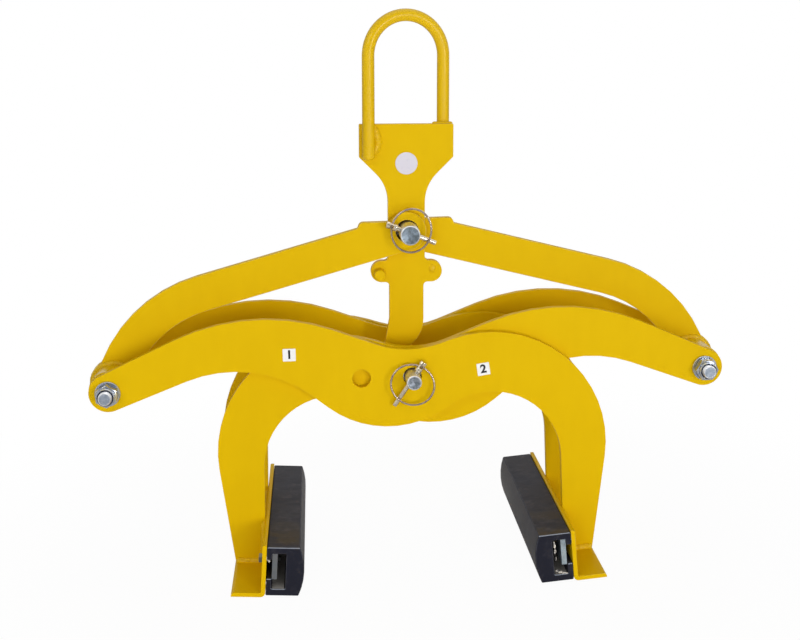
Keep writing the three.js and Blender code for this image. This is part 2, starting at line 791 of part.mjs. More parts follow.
add(hanger, 'suspension_plate', suspensionPlate(), yellowPaint);
add(hanger, 'lifting_bail', bail(), yellowPaint);
add(hanger, 'stop_pin_front', stopPin(-1), yellowPaint);
add(hanger, 'stop_pin_rear', stopPin(1), yellowPaint);
add(hanger, 'round_sticker', sticker(), paleSticker);
add(
  hanger,
  'top_pivot_pin',
  headedPin(
    topPinShift,
    topPinHeight,
    topPinRadius,
    topPinFrontY,
    linkBackY,
    topPinHeadRadius,
    topPinHeadHeight,
    topClip,
  ),
  zincPlate,
);
add(hanger, 'top_clip_pin', clipPin(topClip, topHeadReach), clipSteel);
add(hanger, 'top_clip_ring', clipRing(topClip, topHeadReach), clipSteel);

add(
  centre,
  'centre_pivot_pin',
  headedPin(
    0,
    centreHeight,
    centrePinRadius,
    centrePinFrontY,
    armBackY,
    centrePinHeadRadius,
    centrePinHeadHeight,
    centreClip,
  ),
  zincPlate,
);
add(centre, 'centre_clip_pin', clipPin(centreClip, centreHeadReach), clipSteel);
add(centre, 'centre_clip_ring', clipRing(centreClip, centreHeadReach), clipSteel);
add(
  centre,
  'centre_spacer',
  tube(
    0,
    centreHeight,
    centreSpacerRadius,
    centrePinRadius + clearance,
    -innerFace + clearance,
    innerFace - clearance,
  ),
  yellowPaint,
);
for (const [name, gapY] of [
  ['centre_washer_front', -innerFace - platePitch],
  ['centre_washer_rear', innerFace + armThickness],
]) {
  const washer = tube(
    0,
    centreHeight,
    centreWasherRadius,
    centrePinRadius + clearance,
    gapY + clearance,
    gapY + plateGap - clearance,
  );
  add(centre, name, washer, zincPlate);
}

for (const { side, arm, hand } of [
  { side: 1, arm: 'arm_a', hand: 'right' },
  { side: -1, arm: 'arm_b', hand: 'left' },
]) {
  const half = new THREE.Group();
  tongs.add(half);
  for (const row of ['front', 'rear']) {
    const name = `${arm}_${row}`;
    add(half, name, armPlate(side, plateY[name]), yellowPaint);
  }
  add(half, `foot_${hand}`, foot(side), yellowPaint);
  add(half, `rubber_pad_${hand}`, pad(side), blackRubber);
  add(half, `clamp_bar_${hand}`, clampBar(side), barSteel);
  padBoltPlaces(side).forEach((y, i) => {
    const row = i === 0 ? 'front' : 'rear';
    add(half, `pad_bolt_${hand}_${row}`, padBolt(side, y), zincPlate);
  });
}

for (const { side, hand } of [
  { side: -1, hand: 'left' },
  { side: 1, hand: 'right' },
]) {
  const pivot = new THREE.Group();
  tongs.add(pivot);
  const { frontY, backY } = outerFaces(side);
  add(pivot, `link_${hand}`, link(side), yellowPaint);
  add(pivot, `sleeve_${hand}`, sleeve(side), yellowPaint);
  add(pivot, `bush_${hand}`, bush(side), zincPlate);
  add(pivot, `outer_bolt_${hand}`, outerBolt(side), zincPlate);
  add(pivot, `outer_nut_${hand}`, outerNut(side), zincPlate);
  add(pivot, `nut_insert_${hand}`, nutInsert(side), blueNylon);
  const frontWasher = boltWasher(side, frontY - washerStack);
  add(pivot, `bolt_washer_${hand}_front`, frontWasher, zincPlate);
  add(pivot, `bolt_washer_${hand}_rear`, boltWasher(side, backY + clearance), zincPlate);
}

for (const place of labelShares) {
  add(tongs, place.name, label(place), whiteLabel);
}

export default tongs;
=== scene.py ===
"""Stone lifting tongs: finishes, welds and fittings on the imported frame.

Metres, in the frame's own axes: +X to the right along the bolt line, +Y away from the front
and +Z up. Every piece has its place in its mesh, and its object sits at the origin.
"""

import json
import math
import random

import bpy
from bpy.props import FloatProperty, FloatVectorProperty, IntProperty, PointerProperty
from mathutils import Matrix, Vector


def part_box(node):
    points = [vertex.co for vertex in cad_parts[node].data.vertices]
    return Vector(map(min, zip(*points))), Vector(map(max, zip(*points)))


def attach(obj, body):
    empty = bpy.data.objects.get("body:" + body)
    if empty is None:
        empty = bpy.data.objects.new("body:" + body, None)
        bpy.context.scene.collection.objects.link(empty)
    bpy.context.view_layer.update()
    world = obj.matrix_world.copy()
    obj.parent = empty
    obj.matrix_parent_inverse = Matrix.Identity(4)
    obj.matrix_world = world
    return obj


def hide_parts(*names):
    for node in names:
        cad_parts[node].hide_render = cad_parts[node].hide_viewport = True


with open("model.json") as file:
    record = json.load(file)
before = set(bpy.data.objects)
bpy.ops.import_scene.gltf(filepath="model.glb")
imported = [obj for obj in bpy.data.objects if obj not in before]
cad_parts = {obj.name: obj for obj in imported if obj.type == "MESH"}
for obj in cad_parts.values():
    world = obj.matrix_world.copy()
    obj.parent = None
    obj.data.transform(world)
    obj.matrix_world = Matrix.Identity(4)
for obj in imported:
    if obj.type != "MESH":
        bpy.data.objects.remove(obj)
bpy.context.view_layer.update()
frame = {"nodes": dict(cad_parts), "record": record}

bl_info = {
    "name": "Stone lifting tongs",
    "version": (1, 0, 0),
    "blender": (4, 5, 0),
    "location": "View3D > Sidebar > Tongs",
    "description": "Builds the finish, welds and fittings of a pair of stone lifting tongs",
    "category": "Object",
}

MM = 0.001

# Places that the frame gives


def middle(node):
    """The middle of a CAD node's box."""
    low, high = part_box(node)
    return (low + high) / 2


def half_width(node):
    """Half of a CAD node's widest side across Y, which is the radius of a round piece."""
    low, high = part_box(node)
    return max(high.x - low.x, high.z - low.z) / 2


def span(node):
    """A CAD node's first and last place along Y."""
    low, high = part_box(node)
    return low.y, high.y


BODY_OF_NODE = {
    node: body for body, nodes in frame["record"]["behaviour"]["bodies"].items() for node in nodes
}
HANDS = {"left": -1, "right": 1}

# Sizes and colours that a user would change


def number(name, description, value):
    return FloatProperty(name=name, description=description, default=value)


def length(name, description, millimetres):
    default = millimetres * MM
    return FloatProperty(name=name, description=description, default=default, unit="LENGTH")


def angle(name, description, degrees):
    default = math.radians(degrees)
    return FloatProperty(name=name, description=description, default=default, subtype="ANGLE")


def colour(name, description, red, green, blue):
    """A colour property whose default is given as screen values from 0 to 255."""

    def linear(value):
        share = value / 255
        return share / 12.92 if share <= 0.04045 else ((share + 0.055) / 1.055) ** 2.4

    return FloatVectorProperty(
        name=name,
        description=description,
        subtype="COLOR",
        min=0,
        max=1,
        default=(linear(red), linear(green), linear(blue)),
    )


class TongsPlateSizes(bpy.types.PropertyGroup):
    """Sizes of the plates, the feet and the hanger's bail"""

    merge: length("Merge", "Distance under which points of a plate are one", 0.02)
    plate_edge: length("Plate edge", "Width of the ground edge of a cut plate", 0.7)
    bar_edge: length("Bar edge", "Width of the edge of a clamp bar", 0.9)
    pad_edge: length("Pad edge", "Width of the moulded edge of a rubber pad", 1.1)
    sharp: angle("Sharp edge", "Angle from which an edge is ground", 40)
    smooth: angle("Smooth edge", "Angle up to which shading runs on", 32)
    hip_x: length("Hip, sideways", "Middle plane to the top of the foot's standing leg", 182.2)
    hip_z: length("Hip, upward", "Height of the foot's standing leg", 63.2)
    foot_thickness: length("Foot thickness", "Thickness of the foot's angle section", 5)
    foot_tilt: angle("Foot tilt", "Outward lean of the feet while the jaws are open", 4.2)
    foot_lift: length("Foot lift", "Rise that puts the tilted pad's corner on the floor", 0.91)
    leg_width: length("Leg width", "Width of an arm's leg on the flange", 33.5)
    top_pin: length("Top pin", "Height of the hanger's pivot hole", 406.3)
    lean: angle("Lean", "Lean of the hanger about its pivot", 1)
    bail_bar: length("Bail bar", "Radius of the bail's round bar", 7.5)
    bail_half: length("Bail half width", "Middle of the bail to a leg, sideways", 46)
    bail_offset: length("Bail offset", "Middle of the hanger plate to a leg, front to back", 12.8)
    bail_low: length("Bail legs", "Height of the lower end of the legs", 493.3)
    bail_top: length("Bail top", "Height of the top of the bail", 671.9)


class TongsFittingSizes(bpy.types.PropertyGroup):
    """Sizes of the pins, bolts, clips, labels and welds"""

    clearance: length("Clearance", "Between pieces that touch", 0.3)
    bolt_radius: length("Bolt", "Radius of an outer bolt", 8)
    bolt_flats: length("Bolt head", "Width across the flats of an outer bolt's head", 24)
    bolt_head: length("Bolt head height", "Height of an outer bolt's head", 10)
    nut_hex: length("Nut", "Height of the nut's hexagon", 10.5)
    nut_collar: length("Nut collar", "Height of the collar round the nylon insert", 4)
    collar_radius: length("Collar radius", "Radius of the nut's collar", 10.9)
    insert_radius: length("Insert radius", "Outer radius of the nylon insert", 9.4)
    insert_height: length("Insert", "Height of the nylon insert", 2.4)
    nut_turn: angle("Nut turn", "Turn of the right nut; the left one has two flats upright", 30)
    thread_pitch: length("Thread pitch", "Pitch of the bolts' threads", 2)
    thread_depth: length("Thread depth", "Depth of the bolts' threads", 0.7)
    thread_length: length("Thread", "Length of an outer bolt's threaded end", 20)
    sleeve_wall: length("Sleeve wall", "Wall of the link sleeves", 4.4)
    pin_bore: length("Pin bore", "Bore of the centre spacer and its washers", 9.3)
    centre_pin: length("Centre pin", "Radius of the centre pin", 9)
    top_pin: length("Top pin", "Radius of the top pin", 12)
    centre_head: length("Centre pin head", "Height of the centre pin's head", 6)
    top_head: length("Top pin head", "Height of the top pin's head", 6)
    clip_setback: length("Clip setback", "Clip behind the end of its pin", 20)
    clip_rod: length("Clip rod", "Radius of a clip's rod", 3)
    clip_length: length("Clip length", "Ring's pivot to the tip of the rod", 57.3)
    clip_head: length("Clip head", "Radius of a clip's head", 4.8)
    clip_head_length: length("Clip head length", "Length of a clip's head", 14)
    clip_wire: length("Clip wire", "Radius of a ring's wire", 1.3)
    ring_length: length("Ring length", "Ring's middle line, away from the head", 47.8)
    ring_width: length("Ring width", "Ring's middle line, across", 53)
    ring_skew: angle("Ring skew", "Ring's long line from the rod", 9)
    top_turn: angle("Top clip turn", "Top clip's rod below level", 22.8)
    centre_turn: angle("Centre clip turn", "Centre clip's rod below level", 125.1)
    top_reach: length("Top clip reach", "Top pin's middle to the ring's pivot", 22.3)
    centre_reach: length("Centre clip reach", "Centre pin's middle to the ring's pivot", 17)
    pad_bolt: length("Pad bolt", "Radius of a pad bolt", 3)
    pad_bolt_flats: length("Pad bolt head", "Width across the flats of a pad bolt's head", 10)
    pad_bolt_head: length("Pad bolt head height", "Height of a pad bolt's head", 4)
    pad_bolt_height: length("Pad bolt height", "Pad bolts above the foot's underside", 39)
    label_size: length("Label", "Side of a position label", 15.3)
    label_turn: angle("Label turn", "Second label, stuck on askew", -8)
    digit_height: length("Digit", "Height of a label's digit", 9.5)
    bead: length("Weld bead", "Radius of the fillet welds", 3.2)
    fine_bead: length("Fine bead", "Radius of the welds on small pieces", 1.9)
    voxel: length("Weld detail", "Detail of the fused weld beads", 0.7)
    round_steps: IntProperty(name="Steps", description="Facets round a turned piece", default=56)


class TongsColours(bpy.types.PropertyGroup):
    """Colours of the finishes"""

    paint: colour("Paint", "Yellow paint", 227, 186, 3)
    paint_deep: colour("Deep paint", "Yellow paint where it lies thick", 222, 180, 2)
    # Pale grey on ground edges: partly worn paint, partly a painted highlight along the edges
    edge_wear_and_highlight: colour("Edge paint", "Thin paint on ground edges", 208, 184, 100)
    rubber: colour("Rubber", "Black rubber", 30, 31, 42)
    rubber_scuff: colour("Rubber scuff", "Pale smears on a pad", 92, 89, 92)
    rubber_top: colour("Rubber top", "Dusty top of a pad", 60, 60, 66)
    rubber_brown: colour("Brown rubber", "Stone dust rubbed into a pad", 70, 62, 50)
    flake: colour("Torn edge", "Torn, pale rubber at the core's mouth", 214, 208, 198)
    zinc: colour("Zinc", "Zinc plate", 178, 186, 200)
    zinc_yellow: colour("Yellow zinc", "Yellowish bloom on zinc plate", 205, 196, 158)
    pin_dark: colour("Dark pin", "Stained steel at a pin's end", 112, 122, 128)
    bolt_dull: colour("Pad bolt", "Dull plate on the pad bolts", 112, 114, 112)
    bolt_yellow: colour("Yellowish pad bolt", "Yellowish plate on the pad bolts", 150, 136, 92)
    pin_end: colour("Pin end", "Turned steel at a pin's end", 150, 164, 178)
    clip: colour("Clip steel", "Brassy clip steel", 226, 218, 194)
    clip_rose: colour("Rosy steel", "Rosy tone on clip steel", 158, 134, 126)
    nylon: colour("Nylon", "Dark blue nylon", 24, 34, 60)
    bar: colour("Bar", "Grey steel of the right clamp bar", 178, 194, 204)
    bar_dark: colour("Dark bar", "Dark steel of the left clamp bar", 122, 124, 128)
    sticker: colour("Sticker", "Pale round sticker", 218, 214, 224)
    label: colour("Label", "White label", 244, 244, 244)
    ink: colour("Ink", "Black print", 18, 18, 20)
    floor: colour("Floor", "Pale floor", 250, 250, 250)


def plate_sizes():
    return bpy.context.scene.tongs_plates


def fitting_sizes():
    return bpy.context.scene.tongs_fittings


def colours():
    return bpy.context.scene.tongs_colours


# Shader expressions


class Amount:
    """A node's output socket that adds Math nodes when it is used in an expression."""

    def __init__(self, finish, socket):
        self.finish = finish
        self.socket = socket

    def math(self, operation, *values):
        inputs = dict(enumerate(values))
        return self.finish.node("ShaderNodeMath", {"operation": operation}, inputs)

    def __add__(self, other):
        return self.math("ADD", self, other)

    __radd__ = __add__

    def __sub__(self, other):
        return self.math("SUBTRACT", self, other)

    def __rsub__(self, other):
        return self.math("SUBTRACT", other, self)

    def __mul__(self, other):
        return self.math("MULTIPLY", self, other)

    __rmul__ = __mul__

    def __pow__(self, other):
        return self.math("POWER", self, other)


class Finish:
    """A material, built on its own shader by expressions and one method for any other node."""

    def __init__(self, name, **constants):
        self.material = bpy.data.materials.new(name)
        self.material.use_nodes = True
        self.tree = self.material.node_tree
        self.shader = self.tree.nodes["Principled BSDF"]
        for key, value in constants.items():
            self.own(key).default_value = value
        self.place = self.node("ShaderNodeTexCoord", output="Object")

    def own(self, key):
        """The shader's own socket, by its name in small letters."""
        return self.shader.inputs[key.replace("_", " ").title().replace("Ior", "IOR")]

    def fill(self, socket, value):
        if isinstance(value, Amount):
            self.tree.links.new(value.socket, socket)
        elif socket.type == "RGBA":
            socket.default_value = (*value[:3], 1)
        else:
            socket.default_value = value

    def node(self, kind, settings=None, inputs=None, output=0):
        """Adds a node, sets it, fills its sockets and returns one of its outputs."""
        node = self.tree.nodes.new(kind)
        for key, value in (settings or {}).items():
            setattr(node, key, value)
        for key, value in (inputs or {}).items():
            self.fill(node.inputs[key], value)
        return Amount(self, node.outputs[output])

    def feed(self, **inputs):
        """Links amounts to the shader's own sockets."""
        for key, value in inputs.items():
            self.fill(self.own(key), value)
        return self.material

    def axes(self, vector):
        """The three numbers of a vector."""
        first = self.node("ShaderNodeSeparateXYZ", inputs={0: vector})
        return [Amount(self, out) for out in first.socket.node.outputs]

    def blotches(self, size, detail=2.0, roughness=0.5, stretch=(1, 1, 1)):
        """Noise from 0 to 1 whose spots are about so many millimetres across."""
        mapped = self.node("ShaderNodeMapping", inputs={"Vector": self.place, "Scale": stretch})
        scale = 1 / (size * MM)
        inputs = {"Vector": mapped, "Scale": scale, "Detail": detail, "Roughness": roughness}
        return self.node("ShaderNodeTexNoise", inputs=inputs)

    def ramp(self, value, low, high):
        """0 below low, 1 above high and a smooth step between them."""
        inputs = {"Value": value, "From Min": low, "From Max": high}
        return self.node("ShaderNodeMapRange", {"interpolation_type": "SMOOTHSTEP"}, inputs)

    def patches(self, size, low, high, **noise):
        """Noise of which only the lighter spots stand out."""
        return self.ramp(self.blotches(size, **noise), low, high)

    def blend(self, share, first, second):
        """The first colour turning into the second."""
        inputs = {0: share, 6: first, 7: second}
        return self.node("ShaderNodeMix", {"data_type": "RGBA"}, inputs, output=2)

    def bump(self, height, depth, strength):
        """A normal from a height of 0 to 1 that stands for a depth in millimetres."""
        inputs = {"Strength": strength, "Distance": depth * MM, "Height": height}
        return self.node("ShaderNodeBump", inputs=inputs)


def paint_finish(name, gloss, rough, uneven):
    """Yellow machine paint, slightly uneven in thickness, with a gloss of its own."""
    tones = colours()
    finish = Finish(name, specular_ior_level=gloss)
    clouds = finish.blotches(90, detail=3)
    runs = finish.blotches(14, stretch=(1, 1, 0.3))
    peel = finish.blotches(2.6, roughness=0.4)
    specks = finish.patches(1.6, 0.74, 0.8, detail=1)
    thick = finish.ramp(0.65 * clouds + 0.35 * runs, 0.38, 0.66)
    body = finish.blend(0.6 * thick, tones.paint, tones.paint_deep)
    return finish.feed(
        base_color=finish.blend(0.2 * specks, body, tones.paint_deep),
        roughness=rough + 0.12 * clouds + 0.06 * peel,
        normal=finish.bump(0.75 * peel + 0.25 * runs, 0.12, strength=uneven),
    )


def edge_finish():
    """Thin paint on a ground edge, with the steel's grey showing through in places; the paler grey
    patches are also a painted highlight along the edge.
    """
    tones = colours()
    finish = Finish("edge_wear_and_highlight", specular_ior_level=0.3)
    wear_and_highlight = finish.patches(22, 0.4, 0.62, detail=4, roughness=0.6)
    fine = finish.blotches(1.5)
    return finish.feed(
        # Paler grey patches: worn paint, and also a painted highlight along the ground edge
        base_color=finish.blend(wear_and_highlight * 0.6, tones.paint, tones.edge_wear_and_highlight),
        roughness=0.34 + 0.2 * fine,
        normal=finish.bump(fine, 0.1, strength=0.4),
    )


def weld_finish():
    """Paint over a weld bead: thicker, glossier and a little lumpy."""
    tones = colours()
    finish = Finish("painted_weld", specular_ior_level=0.22)
    lumps = finish.blotches(4, detail=3)
    fine = finish.blotches(1.2)
    return finish.feed(
        base_color=finish.blend(finish.ramp(lumps, 0.4, 0.7), tones.paint, tones.paint_deep),
        roughness=0.22 + 0.12 * fine,
        normal=finish.bump(0.7 * lumps + 0.3 * fine, 0.2, strength=0.2),
    )


def rubber_finish(front):
    """Moulded rubber: blue-black ends, dusty tops, sides with a sheen and a powdered core."""
    tones = colours()
    finish = Finish("black_rubber", specular_ior_level=0.16)
    across, along, height = finish.axes(finish.node("ShaderNodeNewGeometry", output="Normal"))
    _, reach, rise = finish.axes(finish.place)
    smears = finish.blotches(34, detail=4, roughness=0.55, stretch=(0.7, 1.2, 1))
    grain = finish.blotches(0.9, detail=3, roughness=0.7)
    rubs = finish.blotches(13, detail=4, roughness=0.6, stretch=(0.9, 1, 1))
    scratches = finish.blotches(7, detail=5, roughness=0.7, stretch=(0.6, 1.3, 1))
    top = finish.ramp(height, 0.6, 0.95)
    end = finish.ramp(along * -1, 0.6, 0.95)
    side = finish.ramp(across.math("ABSOLUTE", across), 0.5, 0.9)
    near = 1 - finish.ramp(reach, front, front * 0.1)
    clouds = finish.ramp(0.6 * smears + 0.4 * scratches, 0.38, 0.62)
    brown = finish.ramp(smears, 0.4, 0.6) * near
    dust = finish.blend(brown, tones.rubber_top, tones.rubber_brown)
    body = finish.blend(top * (0.5 + 0.65 * clouds), tones.rubber, dust)
    core_floor = top * (1 - finish.ramp(rise, 15 * MM, 20 * MM))
    powdered = finish.blend(core_floor * 0.6, body, tones.flake)
    scuffs = finish.ramp(rubs, 0.5, 0.78) * (0.2 + 0.3 * top)
    return finish.feed(
        base_color=finish.blend(scuffs, powdered, tones.rubber_scuff),
        roughness=0.34 + 0.26 * (top + end) + 0.1 * smears + 0.08 * grain - 0.04 * side,
        normal=finish.bump(0.7 * grain + 0.3 * smears, 0.2, strength=0.5),
    )


def rubber_edge_finish():
    """The moulded edge of a pad, rubbed a little paler, with a painted pale bluish highlight along
    the top front.
    """
    tones = colours()
    finish = Finish("rubber_edge", specular_ior_level=0.2)
    _, along, height = finish.axes(finish.node("ShaderNodeNewGeometry", output="Normal"))
    # Painted highlight: edges facing up and to the front are blended towards the zinc's pale
    # blue-grey
    top_front_highlight = finish.ramp(height - along, 0.95, 1.3)
    rubbed = finish.patches(7, 0.4, 0.65, detail=3)
    grain = finish.blotches(0.9)
    moulded = finish.blend(0.25 * rubbed, tones.rubber, tones.rubber_scuff)
    return finish.feed(
        base_color=finish.blend(0.6 * top_front_highlight, moulded, tones.zinc),
        roughness=0.42 + 0.25 * grain,
        normal=finish.bump(grain, 0.2, strength=0.5),
    )


def flake_finish():
    """Pale torn rubber at the mouth of the core."""
    tones = colours()
    finish = Finish("torn_rubber", specular_ior_level=0.3)
    dirt = finish.patches(1.8, 0.45, 0.68, detail=3)
    return finish.feed(
        base_color=finish.blend(dirt, tones.flake, tones.rubber_top),
        roughness=0.55 + 0.2 * dirt,
        normal=finish.bump(dirt, 0.3, strength=0.6),
    )


def zinc_finish(name, plate, yellow, rough):
    """Zinc plate with a bloom of a yellowish tone."""
    finish = Finish(name, metallic=0.9)
    bloom = finish.patches(9, 0.46, 0.66, detail=3)
    fine = finish.blotches(1.1, detail=3)
    return finish.feed(
        base_color=finish.blend(bloom * 0.8, plate, yellow),
        roughness=rough + 0.1 * fine + 0.06 * bloom,
        normal=finish.bump(fine, 0.04, strength=0.25),
    )


def pin_finish(name, node, radius, dark, light):
    """Turned steel, with the rings of the lathe about the pin's axis and a painted highlight round
    its rim.
    """
    finish = Finish(name, metallic=0.9)
    centre = middle(node)
    x, _, z = finish.axes(finish.place)
    away = ((x - centre.x) ** 2 + (z - centre.z) ** 2) ** 0.5
    pitch = 1.1 * MM
    rings = 0.5 + 0.5 * away.math("SINE", away * (2 * math.pi / pitch))
    stains = finish.blotches(3.5, detail=4, roughness=0.65)
    # Painted highlight: the rim is blended towards the label's white, as a glint on the chamfered
    # edge
    rim = finish.ramp(away, radius - 1.9 * MM, radius - 1.3 * MM)
    body = finish.blend(finish.ramp(stains, 0.34, 0.66), dark, light)
    return finish.feed(
        base_color=finish.blend(0.7 * rim, body, colours().label),
        roughness=0.24 + 0.12 * stains + 0.08 * rings,
        normal=finish.bump(0.6 * rings + 0.4 * stains, 0.1, strength=0.45),
    )


def clip_finish(name, rosy):
    """Brassy steel with rosy streaks, few on a turned rod and most on a wire ring."""
    tones = colours()
    finish = Finish(name, metallic=0.95)
    streaks = finish.patches(6, 0.42, 0.64, detail=3)
    fine = finish.blotches(0.8)
    return finish.feed(
        base_color=finish.blend(rosy + 0.25 * streaks, tones.clip, tones.clip_rose),
        roughness=0.14 + 0.1 * fine,
        normal=finish.bump(fine, 0.04, strength=0.3),
    )


def nylon_finish():
    """Dark blue nylon of a locking nut."""
    tones = colours()
    finish = Finish("blue_nylon", specular_ior_level=0.45)
    fine = finish.blotches(1.3)
    return finish.feed(
        base_color=finish.blend(0.4 * fine, tones.nylon, tones.rubber),
        roughness=0.35 + 0.2 * fine,
        normal=finish.bump(fine, 0.1, strength=0.4),
    )


def bar_finish(name, bare):
    """Bare flat steel with mill scale and fine drag lines."""
    finish = Finish(name, metallic=0.75)
    scale = finish.patches(12, 0.38, 0.66, detail=5, roughness=0.65)
    lines = finish.blotches(1.2, stretch=(1, 0.05, 1))
    return finish.feed(
        base_color=finish.blend(0.6 * scale, bare, colours().pin_dark),
        roughness=0.32 + 0.2 * scale + 0.1 * lines,
        normal=finish.bump(lines, 0.12, strength=0.4),
    )


def paper_finish(name, tone, shade):
    """A printed or plain sticker: matt film, a little dirty and faintly wrinkled."""
    finish = Finish(name, specular_ior_level=0.4)
    dirt = finish.blotches(5, detail=4, roughness=0.6)
    fine = finish.blotches(1.5)
    return finish.feed(
        base_color=finish.blend(finish.ramp(dirt, 0.5, 0.8) * 0.25, tone, shade),
        roughness=0.4 + 0.15 * fine,
        normal=finish.bump(dirt, 0.08, strength=0.3),
    )


FINISHES = {}


def finish_of(name):
    """A finish by name, built the first time that it is asked for."""
    tones = colours()
    sizes = fitting_sizes()
    top, centre, bolt = sizes.top_pin, sizes.centre_pin, sizes.bolt_radius
    stained, turned_end, plate = tones.pin_dark, tones.pin_end, tones.zinc
    makers = {
        "paint": (paint_finish, "yellow_paint", 0.05, 0.34, 0.35),
        "gloss": (paint_finish, "glossy_yellow_paint", 0.26, 0.18, 0.06),
        "edge": (edge_finish,),
        "weld": (weld_finish,),
        "rubber": (rubber_finish, span("rubber_pad_right")[0]),
        "rubber_edge": (rubber_edge_finish,),
        "flake": (flake_finish,),
        "zinc": (zinc_finish, "zinc_plate", plate, tones.zinc_yellow, 0.2),
        "dull_zinc": (zinc_finish, "dull_zinc_plate", tones.bolt_dull, tones.bolt_yellow, 0.36),
        "top_pin": (pin_finish, "top_pin_steel", "top_pivot_pin", top, stained, turned_end),
        "centre_pin": (pin_finish, "centre_pin_steel", "centre_pivot_pin", centre, stained, plate),
        "left_bolt": (pin_finish, "left_bolt_steel", "bush_left", bolt, turned_end, plate),
        "right_bolt": (pin_finish, "right_bolt_steel", "bush_right", bolt, turned_end, plate),
        "clip_rod": (clip_finish, "clip_rod_steel", 0.15),
        "clip_ring": (clip_finish, "clip_ring_steel", 0.6),
        "nylon": (nylon_finish,),
        "left_bar": (bar_finish, "dark_bar_steel", tones.bar_dark),
        "right_bar": (bar_finish, "grey_bar_steel", tones.bar),
        "sticker": (paper_finish, "pale_sticker", tones.sticker, plate),
        "label": (paper_finish, "white_label", tones.label, tones.zinc_yellow),
        "ink": (paper_finish, "black_ink", tones.ink, tones.rubber_top),
    }
    if name not in FINISHES:
        maker, *values = makers[name]
        FINISHES[name] = maker(*values)
    return FINISHES[name]


# Modelling by operators


def deselect():
    if bpy.context.object and bpy.context.object.mode != "OBJECT":
        bpy.ops.object.mode_set(mode="OBJECT")
    bpy.ops.object.select_all(action="DESELECT")


def take(*pieces):
    """Selects pieces, the first of them active."""
    deselect()
    for piece in pieces:
        piece.select_set(True)
    bpy.context.view_layer.objects.active = pieces[0]


def edit(piece, mode="FACE"):
    """Opens a piece in edit mode with everything on it selected."""
    take(piece)
    bpy.ops.object.mode_set(mode="EDIT")
    bpy.ops.mesh.select_mode(type=mode)
    bpy.ops.mesh.select_all(action="SELECT")


def close():
    bpy.ops.object.mode_set(mode="OBJECT")


def new_piece(name, mesh):
    """A new piece with a copy of a mesh."""
    piece = bpy.data.objects.new(name, mesh.copy())
    bpy.context.scene.collection.objects.link(piece)
    return piece


def modify(piece, kind, **settings):
    """Adds a modifier to a piece, sets it and applies it."""
    take(piece)
    modifier = piece.modifiers.new(kind.title(), kind)
    for key, value in settings.items():
        setattr(modifier, key, value)
    bpy.ops.object.modifier_apply(modifier=modifier.name)
    return piece


def named(piece, name):
    piece.name = name
    piece.data.name = name
    return piece


def placed(piece, matrix):
    """Moves a piece's mesh, and leaves its object at the origin."""
    take(piece)
    piece.matrix_world = matrix @ piece.matrix_world
    bpy.ops.object.transform_apply(location=True, rotation=True, scale=True)
    return piece


def made(name):
    """The piece that an operator has just added, named, with its place in its mesh."""
    return placed(named(bpy.context.object, name), Matrix.Identity(4))


def joined(first, *others):
    """One mesh of several pieces."""
    take(first, *others)
    bpy.ops.object.join()
    return first


def combine(piece, tool, operation):
    """Joins, cuts or trims a piece with a closed tool, which is then removed."""
    modify(piece, "BOOLEAN", operation=operation, object=tool, solver="EXACT")
    bpy.data.objects.remove(tool)
    return piece


def smooth(piece, limit=None):
    take(piece)
    bpy.ops.object.shade_smooth_by_angle(angle=limit or plate_sizes().smooth)
    return piece


def copy_of(node, name):
    """A copy of a CAD node whose loose triangles are merged into flat faces."""
    flat = math.radians(0.3)
    piece = new_piece(name, frame["nodes"][node].data)
    piece.data.materials.clear()
    edit(piece)
    bpy.ops.mesh.remove_doubles(threshold=plate_sizes().merge)
    bpy.ops.mesh.dissolve_limited(angle_limit=flat)
    close()
    return named(piece, name)


def seat(piece, finishes, nodes=(), body=None):
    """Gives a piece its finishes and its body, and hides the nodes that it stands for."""
    while len(piece.data.materials) < len(finishes):
        piece.data.materials.append(None)
    for index, finish in enumerate(finishes):
        piece.data.materials[index] = finish_of(finish)
    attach(piece, body or BODY_OF_NODE[nodes[0]])
    if nodes:
        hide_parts(*nodes)
    return piece


def turned(name, profile, place=Vector(), steps=None):
    """A turned piece about the line along Y through a place, from (radius, y) corners."""
    deselect()
    radius, y = profile[0]
    bpy.ops.mesh.primitive_plane_add(size=MM, location=(place.x + radius, y, place.z))
    piece = bpy.context.object
    edit(piece, "VERT")
    bpy.ops.mesh.merge(type="CENTER")
    for (radius, y), (next_radius, next_y) in zip(profile, profile[1:]):
        step = (next_radius - radius, next_y - y, 0)
        bpy.ops.mesh.extrude_region_move(TRANSFORM_OT_translate={"value": step})
    bpy.ops.mesh.select_all(action="SELECT")
    bpy.ops.mesh.spin(
        steps=steps or fitting_sizes().round_steps,
        angle=2 * math.pi,
        center=(place.x, 0, place.z),
        axis=(0, 1, 0),
    )
    bpy.ops.mesh.select_all(action="SELECT")
    bpy.ops.mesh.remove_doubles(threshold=0.005 * MM)
    bpy.ops.mesh.normals_make_consistent(inside=False)
    close()
    placed(piece, Matrix.Identity(4))
    return named(piece, name)


def tube(name, outer, inner, front, back, place, edge):
    """A turned ring with its four corners taken off."""
    profile = [
        (inner, front + edge), (inner + edge, front), (outer - edge, front),
        (outer, front + edge), (outer, back - edge), (outer - edge, back),
        (inner + edge, back), (inner, back - edge), (inner, front + edge),
    ]
    return smooth(turned(name, profile, place))


